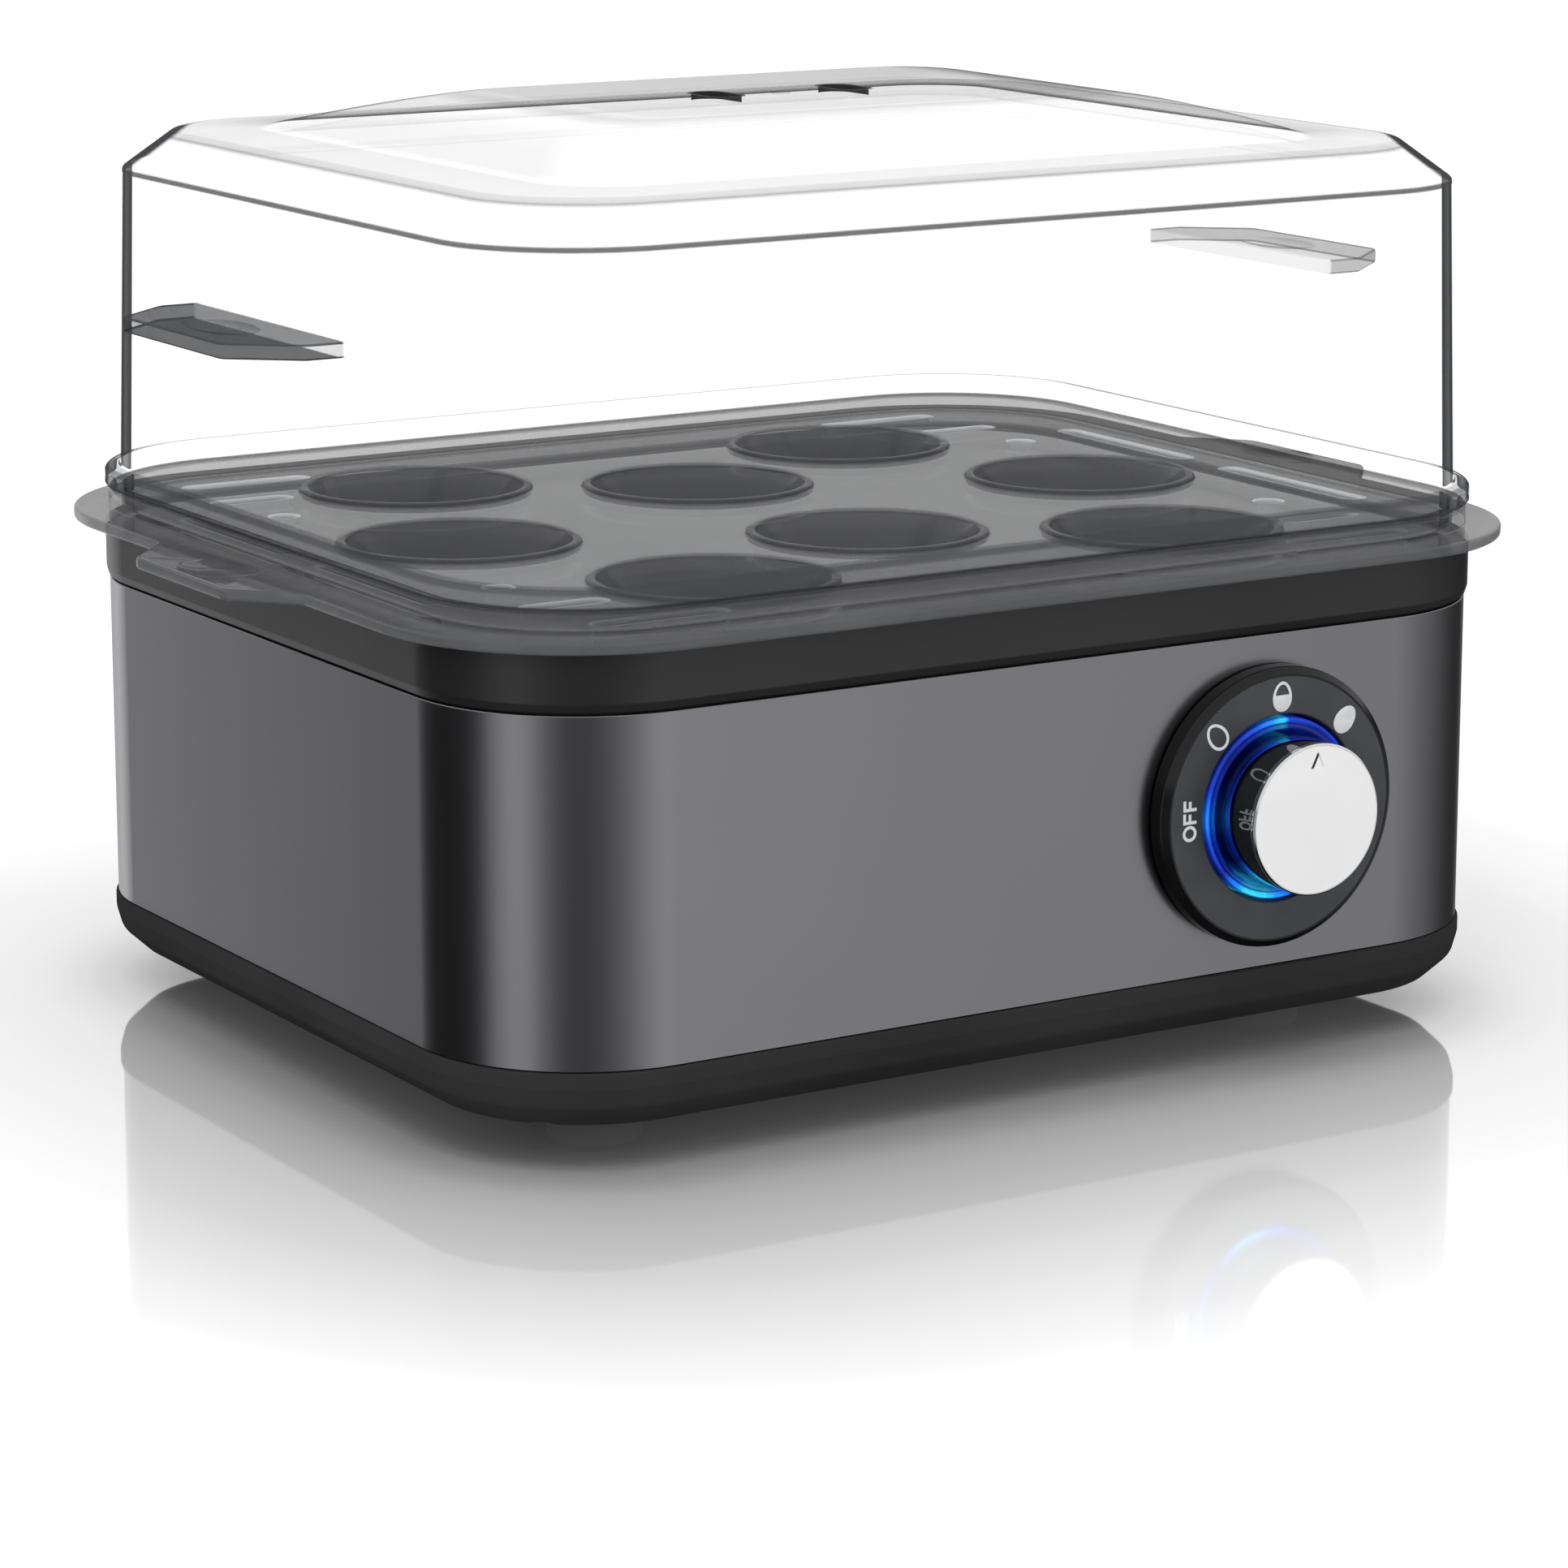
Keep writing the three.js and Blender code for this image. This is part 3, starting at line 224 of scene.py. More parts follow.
def dial_place(u, v, w):
    """From the control's own axes: u to the right, v up, w out of the front."""
    return body_place(DIAL_X + u, -HALF_Y - w, DIAL_Z + v)


def body_loop(rows):
    """A wall round the body, whose profile closes on itself."""
    return Shape().strip([ring(r) for r in rounded(rows)], loop=True)


def body_shell(rows):
    """A shell that a flat face closes at its first and last row."""
    rows = rounded(rows, closed=False)
    shape = Shape().strip([ring(r) for r in rows])
    return shape.fill(ring(rows[0])).fill(ring(rows[-1]))


def turned(rows, steps=TURN_STEPS, closed=True, x=0.0, y=0.0, material=0):
    """A turned piece, from rows of ((radius, height), corner radius)."""
    circles = [circle(r, z, steps, x, y) for r, z in rounded(rows, closed=closed)]
    return Shape().strip(circles, loop=closed, material=material)


def rod(name, x, y, radius, low, high, steps=48, place=None):
    foot, top = (circle(radius, z, steps, x, y) for z in (low, high))
    return Shape().strip([foot, top]).fill(foot).fill(top).close(name, place)


def cable_rod():
    """The cable's hole through the back wall, along Y."""
    return rod("cable", 0, CABLE_Z, CABLE_RADIUS, 60, 90, place=lambda a, b, c: body_place(a, c, b))


def control_rod():
    """The control's hole through the front walls."""
    return rod("control", 0, 0, 16.0, -20, 20, 96, dial_place)


def middle_of(name):
    """Where the middle of a CAD node lies, in millimetres."""
    low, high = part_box(name)
    return (low.x + high.x) / 2 / MM, ((low.y + high.y) / 2 - MIDDLE_Y) / MM


def middles(stem, count=4):
    return [middle_of(f"{stem}_{k}") for k in range(1, count + 1)]


def thumb_dip(shape, x, half_x, half_y, top, deepest, steps=9):
    """A shallow dip for the thumb in a level face. Gives its rim."""
    rings = []
    for k in range(steps):
        s = 1.0 - k / steps
        depth = deepest * (1 - s ** 2.6)
        rings.append(at_level(ellipse(x, 0, half_x * s, half_y * s), top - depth))
    shape.strip(rings)
    shape.fill(rings[-1])
    return rings[0]


def combine(piece, tools, operation):
    """Joins or cuts with each tool, which is then removed."""
    for tool in tools:
        step = piece.modifiers.new("combine", "BOOLEAN")
        step.object, step.operation, step.solver = tool, operation, "EXACT"
        step.material_mode = "INDEX"
    graph = bpy.context.evaluated_depsgraph_get()
    data = bpy.data.meshes.new_from_object(piece.evaluated_get(graph))
    piece.modifiers.clear()
    piece.data = data
    for tool in tools:
        bpy.data.objects.remove(tool)
    return piece


def paint(piece, materials):
    """Gives the materials by the faces' numbers, before any join or cut mixes these up."""
    if not piece.data.materials:
        for material in materials:
            piece.data.materials.append(material)
    return piece


def dress(piece, body, materials, replaces=()):
    """Smooths between creases, gives the materials and says where the piece belongs."""
    crease = math.radians(32)
    work = bmesh.new()
    work.from_mesh(piece.data)
    bmesh.ops.remove_doubles(work, verts=work.verts, dist=1e-6)
    for face in work.faces:
        face.smooth = True
    for edge in work.edges:
        edge.smooth = len(edge.link_faces) == 2 and edge.calc_face_angle(0) < crease
    work.to_mesh(piece.data)
    work.free()
    weighted = piece.modifiers.new("weighted", "WEIGHTED_NORMAL")
    weighted.keep_sharp = True
    weighted.weight = 80
    paint(piece, materials if isinstance(materials, (list, tuple)) else [materials])
    if replaces:
        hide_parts(*replaces)
    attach(piece, body)
    return piece


# Materials

def add_node(tree, kind, **settings):
    made = tree.nodes.new(kind)
    for key, value in settings.items():
        if hasattr(made, key):
            setattr(made, key, value)
        else:
            made.inputs[key.replace("_", " ")].default_value = value
    return made


def ramp(tree, stops):
    """A colour ramp of (place, colour) pairs."""
    made = tree.nodes.new("ShaderNodeValToRGB")
    elements = made.color_ramp.elements
    while len(elements) < len(stops):
        elements.new(0.5)
    for element, (place, colour) in zip(elements, stops):
        element.position = place
        element.color = (*colour, 1.0)
    return made


def grey(value):
    return value, value, value


def finish(name, colour, other, rough, metallic=0.0, grain=900, bump=0.02, depth=0.00004,
           stretch=(1, 1, 1), blotch=60, **sockets):
    """A finish with two close tones, a fine grain in the surface and an uneven gloss."""
    material = bpy.data.materials.new(name)
    material.use_nodes = True
    tree = material.node_tree
    shader = tree.nodes["Principled BSDF"]
    shader.inputs["Metallic"].default_value = metallic
    for key, value in sockets.items():
        shader.inputs[key.replace("_", " ")].default_value = value
    place = add_node(tree, "ShaderNodeTexCoord")
    fit = add_node(tree, "ShaderNodeMapping", Scale=stretch)
    fine = add_node(tree, "ShaderNodeTexNoise", Scale=grain, Detail=3.0)
    broad = add_node(tree, "ShaderNodeTexNoise", Scale=blotch, Detail=2.0)
    tones = ramp(tree, [(0.35, colour), (0.65, other)])
    gloss = add_node(tree, "ShaderNodeMapRange", To_Min=rough[0], To_Max=rough[1])
    relief = add_node(tree, "ShaderNodeBump", Strength=bump, Distance=depth)
    link = tree.links.new
    link(place.outputs["Object"], fit.inputs["Vector"])
    link(fit.outputs["Vector"], fine.inputs["Vector"])
    link(place.outputs["Object"], broad.inputs["Vector"])
    link(broad.outputs["Fac"], tones.inputs["Fac"])
    link(tones.outputs["Color"], shader.inputs["Base Color"])
    link(fine.outputs["Fac"], gloss.inputs["Value"])
    link(gloss.outputs["Result"], shader.inputs["Roughness"])
    link(fine.outputs["Fac"], relief.inputs["Height"])
    link(relief.outputs["Normal"], shader.inputs["Normal"])
    return material


def put(tree, value, socket):
    """Gives a socket a number, or links another socket to it."""
    if isinstance(value, (int, float)):
        socket.default_value = value
    else:
        tree.links.new(value, socket)


def math_of(tree, operation, *values):
    """The result of a sum with numbers and sockets."""
    made = add_node(tree, "ShaderNodeMath", operation=operation)
    for socket, value in zip(made.inputs, values):
        put(tree, value, socket)
    return made.outputs["Value"]


def vector_of(tree, operation, value, other=None):
    made = add_node(tree, "ShaderNodeVectorMath", operation=operation)
    if other is not None:
        made.inputs[1].default_value = other
    tree.links.new(value, made.inputs[0])
    return made.outputs["Vector"]


def axes(tree, value):
    made = add_node(tree, "ShaderNodeSeparateXYZ")
    tree.links.new(value, made.inputs["Vector"])
    return made.outputs["X"], made.outputs["Y"], made.outputs["Z"]


def spread(tree, value, low, high, to_low=0.0, to_high=1.0, kind="LINEAR"):
    """Takes a number from one range to another, within its ends."""
    made = add_node(tree, "ShaderNodeMapRange", interpolation_type=kind)
    numbers = {"From Min": low, "From Max": high, "To Min": to_low, "To Max": to_high}
    for name, number in numbers.items():
        made.inputs[name].default_value = number
    tree.links.new(value, made.inputs["Value"])
    return made.outputs["Result"]


def colours(tree, value, stops):
    """A colour that follows a number through (place, colour) pairs between 0 and 1."""
    made = ramp(tree, stops)
    tree.links.new(value, made.inputs["Fac"])
    return made.outputs["Color"]


def curve(tree, value, stops):
    """A number that follows another through (place, number) pairs between 0 and 1."""
    return colours(tree, value, [(place, grey(number)) for place, number in stops])


def follow(tree, value, pairs):
    """A number that follows another through (number, number) pairs, from the first to the last."""
    low, high = pairs[0][0], pairs[-1][0]
    stops = [((at - low) / (high - low), to) for at, to in pairs]
    return curve(tree, spread(tree, value, low, high), stops)


def blend(tree, share, first, second):
    """A number between two others."""
    made = add_node(tree, "ShaderNodeMix", data_type="FLOAT")
    for name, value in (("Factor", share), ("A", first), ("B", second)):
        put(tree, value, made.inputs[name])
    return made.outputs["Result"]


def place_of(tree):
    """X and Z in millimetres, and how far the surface faces up or down and sideways.

    All are in the piece's own space."""
    place = add_node(tree, "ShaderNodeTexCoord")
    x, _, z = axes(tree, vector_of(tree, "MULTIPLY", place.outputs["Object"], (1 / MM,) * 3))
    sideways, _, level = (
        math_of(tree, "ABSOLUTE", axis) for axis in axes(tree, place.outputs["Normal"])
    )
    return x, z, level, sideways


def drive(tree, name, value):
    """Has a socket decide one of the finish's inputs."""
    tree.links.new(value, tree.nodes["Principled BSDF"].inputs[name])


def make_clear(name, levels, rim, grazing):
    """Clear plastic: edges, silhouette and thick places are painted grey, as painted shade and
    reflection, and the rest lets all through.
    """
    material = finish(
        name, (0.050, 0.052, 0.057), (0.060, 0.062, 0.067), (0.03, 0.06), grain=60, bump=0.01,
        depth=0.00002, blotch=12, Specular_IOR_Level=0.0,
    )
    tree = material.node_tree
    x, z, level, sideways = place_of(tree)
    facing = add_node(tree, "ShaderNodeLayerWeight", Blend=0.5).outputs["Facing"]
    # The far walls show their insides, where the painted shade of the moulded edges hardly tells
    inside = add_node(tree, "ShaderNodeNewGeometry").outputs["Backfacing"]
    outside = spread(tree, math_of(tree, "SUBTRACT", 1.0, inside), 0.0, 1.0, 0.06, 1.0)
    at_height = math_of(tree, "MULTIPLY", outside, follow(tree, z, levels))
    # The silhouette, bevels and slopes are painted grey by how far they turn from the eye: painted
    # shade and reflection
    upright = spread(tree, level, 0.30, 0.40, 1.0, 0.0)
    flat = spread(tree, level, 0.84, 0.90)
    edge = math_of(tree, "MULTIPLY", curve(tree, facing, rim), upright)
    darkest = max(number for _, number in rim)
    bevel = math_of(tree, "MULTIPLY", spread(tree, facing, 0.74, 0.80, 0.0, darkest),
                    math_of(tree, "SUBTRACT", math_of(tree, "SUBTRACT", 1.0, flat), upright))
    slope = math_of(tree, "MULTIPLY", spread(tree, facing, 0.86, 1.0, 0.0, grazing), flat)
    ends = math_of(tree, "MULTIPLY", spread(tree, sideways, 0.04, 0.30, 0.0, grazing * 0.2), flat)
    painted_shade = math_of(tree, "MAXIMUM", math_of(tree, "MAXIMUM", at_height, edge),
                    math_of(tree, "MAXIMUM", bevel, math_of(tree, "MAXIMUM", slope, ends)))
    # The grips stand past the walls. Their painted shade goes by how they face, and the left one is
    # painted the darker of the two: a painted reflection
    left = curve(tree, level, [
        (0.0, 0.38), (0.30, 0.42), (0.45, 0.96), (0.90, 0.96), (0.99, 0.82), (1.0, 0.82),
    ])
    right = curve(tree, level, [
        (0.0, 0.42), (0.30, 0.42), (0.45, 0.75), (0.88, 0.60), (0.97, 0.25), (1.0, 0.22),
    ])
    grip = blend(tree, spread(tree, x, -1.0, 1.0), left, right)
    beyond = spread(tree, math_of(tree, "ABSOLUTE", x), 88.0, 88.6)
    on_grip = math_of(tree, "MULTIPLY", beyond, spread(tree, z, 100.0, 102.0))
    drive(tree, "Alpha", blend(tree, on_grip, painted_shade, grip))
    return material


# How much painted shade the plastic gets: by height in millimetres, then by how far it turns from
# the eye
clear_plastic = make_clear("clear_plastic", [
    (77.0, 0.20), (80.2, 0.78), (80.7, 0.78), (80.95, 0.40), (82.3, 0.40), (82.6, 0.78),
    (83.3, 0.78), (83.45, 0.02), (129.10, 0.01), (129.25, 0.88), (129.85, 0.88), (129.95, 0.02),
    (134.70, 0.02), (134.85, 0.62), (135.15, 0.58), (135.25, 0.36), (135.80, 0.30),
    (135.89, 0.22), (135.93, 0.17), (136.05, 0.05), (141.4, 0.05), (142.0, 0.30), (142.15, 0.32),
    (142.19, 0.15), (143.0, 0.15),
], [
    (0.0, 0.0), (0.625, 0.0), (0.64, 0.95), (0.68, 0.84), (0.76, 0.76), (0.82, 0.92), (0.87, 0.92),
    (0.905, 0.15), (1.0, 0.12),
], 0.8)
clear_inner = make_clear("clear_inner", [
    (77.0, 0.05), (83.3, 0.01), (128.9, 0.01), (129.05, 0.10), (129.2, 0.10), (129.3, 0.005),
    (143.0, 0.01),
], [(0.0, 0.0), (0.5, 0.0), (1.0, 0.0)], 0.1)


def make_vent_painted_shade():
    """Painted shade: a dark lining on a vent's walls in place of the shade in the opening, which
    doesn't show through the plastic beside it.
    """
    material = finish("vent_painted_shade", grey(0.008), grey(0.014), (0.5, 0.7), grain=1500)
    tree = material.node_tree
    behind = add_node(tree, "ShaderNodeNewGeometry").outputs["Backfacing"]
    drive(tree, "Alpha", math_of(tree, "SUBTRACT", 1.0, behind))
    return material


vent_painted_shade = make_vent_painted_shade()


def make_smoky():
    """Smoky clear plastic, which is the denser the lower it lies and at its edges."""
    material = finish(
        "smoky_plastic", (0.094, 0.096, 0.102), (0.110, 0.112, 0.118), (0.02, 0.04), grain=200,
        bump=0.01, depth=0.00002, blotch=30, Specular_IOR_Level=0.24,
    )
    tree = material.node_tree
    z = place_of(tree)[1]
    facing = add_node(tree, "ShaderNodeLayerWeight", Blend=0.5).outputs["Facing"]
    at_height = follow(tree, z, [
        (70.0, 0.72), (75.0, 0.76), (76.9, 0.76), (77.3, 0.34), (79.2, 0.34), (79.5, 0.62),
        (81.0, 0.62),
    ])
    edge = curve(tree, facing, [(0.0, 0.0), (0.84, 0.0), (0.92, 0.9), (1.0, 0.95)])
    drive(tree, "Alpha", math_of(tree, "MAXIMUM", at_height, edge))
    return material


smoky_plastic = make_smoky()
# The polished walls of the tray's slots are painted pale: a painted highlight of the light they
# catch
slot_painted_highlight = finish("slot_painted_highlight", (0.50, 0.51, 0.53), (0.58, 0.59, 0.61), (0.05, 0.12), grain=600,
                    bump=0.01, Alpha=0.75)

# Painted shade: the dark line down the left side of the knob's pointer
pointer_painted_shade = finish("pointer_painted_shade", grey(0.012), grey(0.018), (0.4, 0.6), grain=1500)
black_plastic = finish(
    "black_plastic", grey(0.010), grey(0.014), (0.32, 0.40), grain=2600, bump=0.05, depth=0.00003,
    blotch=25, Specular_IOR_Level=0.42,
)
# The base's black with painted light and shade: paler, to light its lower faces, and without gloss,
# to keep out the bright studio its sides would mirror
base_black_painted_light_and_shade = finish(
    "base_black_painted_light_and_shade", grey(0.030), grey(0.037), (0.42, 0.50), grain=2600, bump=0.05, depth=0.00003,
    blotch=25, Specular_IOR_Level=0.0,
)
rim_black = finish("rim_black", grey(0.004), grey(0.006), (0.10, 0.14), bump=0.01,
                   Specular_IOR_Level=0.3)
knob_black = finish(
    "knob_black", (0.20, 0.205, 0.22), (0.23, 0.235, 0.25), (0.03, 0.05), metallic=1.0, grain=500,
    bump=0.005,
)
band_steel = finish(
    "band_steel", (0.229, 0.228, 0.244), (0.235, 0.234, 0.250), (0.266, 0.274), metallic=1.0,
    grain=700, stretch=(0.3, 0.3, 6.0), bump=0.002, depth=0.00001, blotch=18,
)
cap_silver = finish(
    "cap_silver", (0.97, 0.97, 0.975), (0.94, 0.94, 0.95), (0.26, 0.36), metallic=0.5, grain=1800,
    bump=0.03, depth=0.00002, blotch=90,
)
bright_edge = finish("bright_edge", grey(0.80), grey(0.86), (0.06, 0.12), metallic=1.0, bump=0.01)
dial_grey = finish(
    "dial_grey", (0.042, 0.045, 0.051), (0.052, 0.055, 0.061), (0.30, 0.42), metallic=0.25,
    grain=3200, bump=0.05, depth=0.00002, blotch=120,
)
bowl_coating = finish(
    "bowl_coating", (0.060, 0.061, 0.064), (0.085, 0.086, 0.090), (0.35, 0.50), metallic=0.3,
    grain=1400, bump=0.12, depth=0.00004, blotch=200,
)
foot_rubber = finish("foot_rubber", grey(0.118), grey(0.142), (0.75, 0.9), grain=2200, bump=0.3,
                     Specular_IOR_Level=0.1)
seal_silicone = finish("seal_silicone", grey(0.28), grey(0.34), (0.55, 0.7), grain=700, bump=0.1)
zinc_steel = finish(
    "zinc_steel", (0.48, 0.49, 0.50), (0.58, 0.59, 0.60), (0.25, 0.45), metallic=1.0, bump=0.06,
    blotch=300,
)
circuit_board = finish(
    "circuit_board", (0.012, 0.085, 0.035), (0.020, 0.120, 0.050), (0.35, 0.5), grain=600,
    bump=0.12, blotch=700,
)
relay_blue = finish("relay_blue", (0.02, 0.06, 0.20), (0.03, 0.08, 0.25), (0.35, 0.5), grain=1500)
white_ceramic = finish("white_ceramic", (0.72, 0.69, 0.63), (0.80, 0.77, 0.71), (0.5, 0.65),
                       grain=1600, bump=0.15)
grey_plastic = finish("grey_plastic", grey(0.085), grey(0.105), (0.45, 0.6), grain=2000, bump=0.12)
wire_brown = finish("wire_brown", (0.12, 0.045, 0.016), (0.16, 0.06, 0.02), (0.45, 0.6))
wire_blue = finish("wire_blue", (0.015, 0.09, 0.36), (0.02, 0.11, 0.42), (0.45, 0.6))
wire_red = finish("wire_red", (0.32, 0.018, 0.012), (0.40, 0.022, 0.015), (0.45, 0.6))
print_white = finish("print_white", (0.74, 0.75, 0.77), (0.66, 0.67, 0.69), (0.5, 0.6), grain=4000,
                     bump=0.05, blotch=500)


def make_blue_light():
    """Clear blue plastic over four lamps: bright where a lamp sits behind, deep blue between."""
    material = finish("blue_light", (0.004, 0.010, 0.12), (0.004, 0.008, 0.09), (0.1, 0.2),
                      grain=600, Specular_IOR_Level=0.3)
    tree = material.node_tree
    place = add_node(tree, "ShaderNodeTexCoord").outputs["Object"]
    x, _, z = axes(tree, vector_of(tree, "SUBTRACT", place, dial_place(0, 0, 0)))
    deep, royal = (0.001, 0.012, 0.22), (0.002, 0.040, 0.54)
    azure, cyan = (0.006, 0.22, 1.0), (0.03, 0.62, 1.0)
    # Round the ring from nine o'clock, by way of six, three and twelve, back to nine
    turn = spread(tree, math_of(tree, "ARCTAN2", z, x), -math.pi, math.pi)
    drive(tree, "Emission Color", colours(tree, turn, [
        (0.00, azure), (0.05, royal), (0.115, deep), (0.155, azure), (0.17, cyan), (0.215, cyan),
        (0.25, azure), (0.30, royal), (0.42, deep), (0.55, royal), (0.66, deep), (0.735, royal),
        (0.745, cyan), (0.775, azure), (0.82, royal), (0.88, deep), (0.95, royal), (1.00, azure),
    ]))
    streaks = add_node(tree, "ShaderNodeTexNoise", Scale=900.0, Detail=1.0)
    tree.links.new(place, streaks.inputs["Vector"])
    uneven = spread(tree, streaks.outputs["Fac"], 0.0, 1.0, 0.75, 1.5)
    # A dark groove runs round the middle of the ring, by its radius in millimetres
    squares = [math_of(tree, "POWER", side, 2.0) for side in (x, z)]
    reach = math_of(tree, "MULTIPLY", 1000.0, math_of(tree, "SQRT", math_of(tree, "ADD", *squares)))
    across = follow(tree, reach, [
        (11.5, 0.15), (12.10, 0.22), (12.60, 0.40), (12.75, 0.12), (12.90, 0.12), (13.05, 0.95),
        (13.6, 1.1), (13.78, 0.3), (14.0, 0.2),
    ])
    drive(tree, "Emission Strength", math_of(tree, "MULTIPLY", uneven, across))
    return material


blue_light = make_blue_light()
led_lens = finish("led_lens", (0.10, 0.45, 0.9), (0.2, 0.6, 1.0), (0.2, 0.3),
                  Emission_Color=(0.1, 0.5, 1.0, 1), Emission_Strength=1.5)


# Feet, base, band, collar, bowl and gland

def make_feet():
    core, steps = 0.9, 56
    for k, (x, y) in enumerate(middles("rubber_foot"), 1):
        shape = turned([
            ((core, 0.55), 0.0), ((1.5, 0.55), 0.2), ((2.1, 0.0), 0.2), ((7.0, 0.0), 0.9),
            ((7.0, 3.7), 0.3), ((2.6, 3.7), 0.0), ((2.6, 6.1), 0.2), ((core, 6.1), 0.0),
        ], steps, False, x, y)
        shape.fill(circle(core, 0.55, steps, x, y)).fill(circle(core, 6.1, steps, x, y))
        foot = shape.close(f"foot_pad_{k}")
        dress(foot, "housing", foot_rubber, [f"rubber_foot_{k}"])


def make_base():
    # Below the band the edge stands out, and a lip goes up behind the band
    edge_top, lip_top = 14.37, 22.0
    base = body_shell([
        body_row(-12, 4.0, 0.8, 18), body_row(-4.0, 5.7, 0.7), body_row(-0.4, 9.05, 2.0),
        body_row(0.4, 12.0, 0.35), body_row(0.4, 14.2, 0.15), body_row(0.05, edge_top, 0.05),
        body_row(-1.0, edge_top, 0.1), body_row(-1.0, lip_top, 0.5),
        body_row(-3.0, lip_top, 0.5), body_row(-3.0, 12.0, 0.0), body_row(-6.0, 8.4, 0.0),
        body_row(-12, 6.2, 0.0, 18),
    ]).close("base_shell")
    corners = middles("base_screw")
    posts = middles("board_screw") + middles("bracket_screw", 2)
    joins = [rod(f"boss_{i}", x, y, 4.6, 9.0, 20.2) for i, (x, y) in enumerate(corners)]
    joins += [rod(f"post_{i}", x, y, 3.4, 5.1, 11.7) for i, (x, y) in enumerate(posts)]
    base = combine(base, joins, "UNION")
    cuts = [rod(f"recess_{i}", x, y, 3.3, 0.0, 11.25) for i, (x, y) in enumerate(corners)]
    cuts += [rod(f"pilot_{i}", x, y, 1.75, 8.0, 30.0) for i, (x, y) in enumerate(corners)]
    feet = middles("rubber_foot")
    cuts += [rod(f"peg_{i}", x, y, 2.9, 0.0, 6.4) for i, (x, y) in enumerate(feet)]
    base = combine(base, cuts + [cable_rod(), control_rod()], "DIFFERENCE")
    dress(base, "housing", base_black_painted_light_and_shade, ["base_cover"])


def make_band():
    wall = 0.7
    shape = body_loop([
        body_row(0, BAND_LOW, 0.25), body_row(0, BAND_HIGH, 0.25),
        body_row(-wall, BAND_HIGH, 0.2), body_row(-wall, BAND_LOW, 0.2),
    ])
    band = combine(shape.close("band_shell"), [control_rod(), cable_rod()], "DIFFERENCE")
    dress(band, "housing", band_steel, ["steel_band"])


def make_collar():
    # The bowl's seal lies on a ledge inside, and a skirt goes down behind the band
    ledge_low, ledge_top, ledge_corner = 69.6, 71.6, 34.3
    shape = body_loop([
        body_row(0.1, COLLAR_LOW, 0.35), body_row(0.5, 67.2, 1.2), body_row(0.5, COLLAR_TOP, 0.6),
        body_row(-4.7, COLLAR_TOP, 0.5), body_row(-4.7, ledge_top, 0.3),
        body_row(-7.5, ledge_top, 0.4, ledge_corner), body_row(-7.5, ledge_low, 0.4, ledge_corner),
        body_row(-3.0, ledge_low, 0.3), body_row(-3.0, SKIRT_LOW, 0.4),
        body_row(-1.0, SKIRT_LOW, 0.4), body_row(-1.0, COLLAR_LOW, 0.1),
    ])
    collar = shape.close("collar_shell")
    corners = middles("base_screw")
    posts = [rod(f"post_{i}", x, y, 3.5, 20.5, 70.6) for i, (x, y) in enumerate(corners)]
    collar = combine(collar, posts, "UNION")
    cuts = [rod(f"pilot_{i}", x, y, 1.75, 10.0, 34.5) for i, (x, y) in enumerate(corners)]
    collar = combine(collar, cuts + [control_rod()], "DIFFERENCE")
    dress(collar, "housing", black_plastic, ["collar_ring"])


def make_bowl():
    rim_under = 73.2
    bowl = body_shell([
        body_row(-15, 55.5, 0.0, 26.8), body_row(-12.3, 55.6, 2.6, 29.6),
        body_row(-9.1, 73.0, 1.6, 32.8), body_row(-7.8, BOWL_RIM, 0.6, 34.0),
        body_row(-5.0, BOWL_RIM, 0.4), body_row(-5.0, rim_under, 0.3),
        body_row(-7.8, rim_under, 0.8, 34.0),
        body_row(-11.0, BOWL_UNDER, 2.8, 31.0), body_row(-14, BOWL_UNDER, 0.0, 28.0),
    ]).close("bowl_shell")
    names = [f"clamp_screw_{k}" for k in range(1, 5)] + [f"strap_screw_{k}" for k in (1, 2)]
    joins = [rod(f"boss_{n}", *middle_of(n), 2.6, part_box(n)[1].z / MM - 2.2, 54.4) for n in names]
    combine(bowl, joins, "UNION")
    dress(bowl, "housing", bowl_coating, ["heating_bowl"])
    low, high, corner = 71.9, 72.9, 34.3
    seal = body_loop([
        body_row(-5.0, low, 0.3), body_row(-5.0, high, 0.3), body_row(-7.2, high, 0.3, corner),
        body_row(-7.2, low, 0.3, corner),
    ])
    dress(seal.close("seal_ring"), "housing", seal_silicone, ["bowl_seal"])


def make_gland():
    shape = turned([
        ((3.4, -9.0), 0.3), ((5.0, -9.0), 0.3), ((5.0, 0.3), 0.0), ((7.2, 0.3), 0.2),
        ((7.2, 1.5), 0.8), ((5.0, 2.7), 0.4), ((3.4, 2.7), 0.5),
    ], 72)
    gland = shape.close("gland_bush", lambda a, b, c: body_place(a, HALF_Y + c, CABLE_Z + b))
    dress(gland, "housing", black_plastic, ["cord_gland"])


# Rotary control

DIAL_FACE, PRINT_FACE, DIAL_BACK = 3.7, 3.73, -4.0


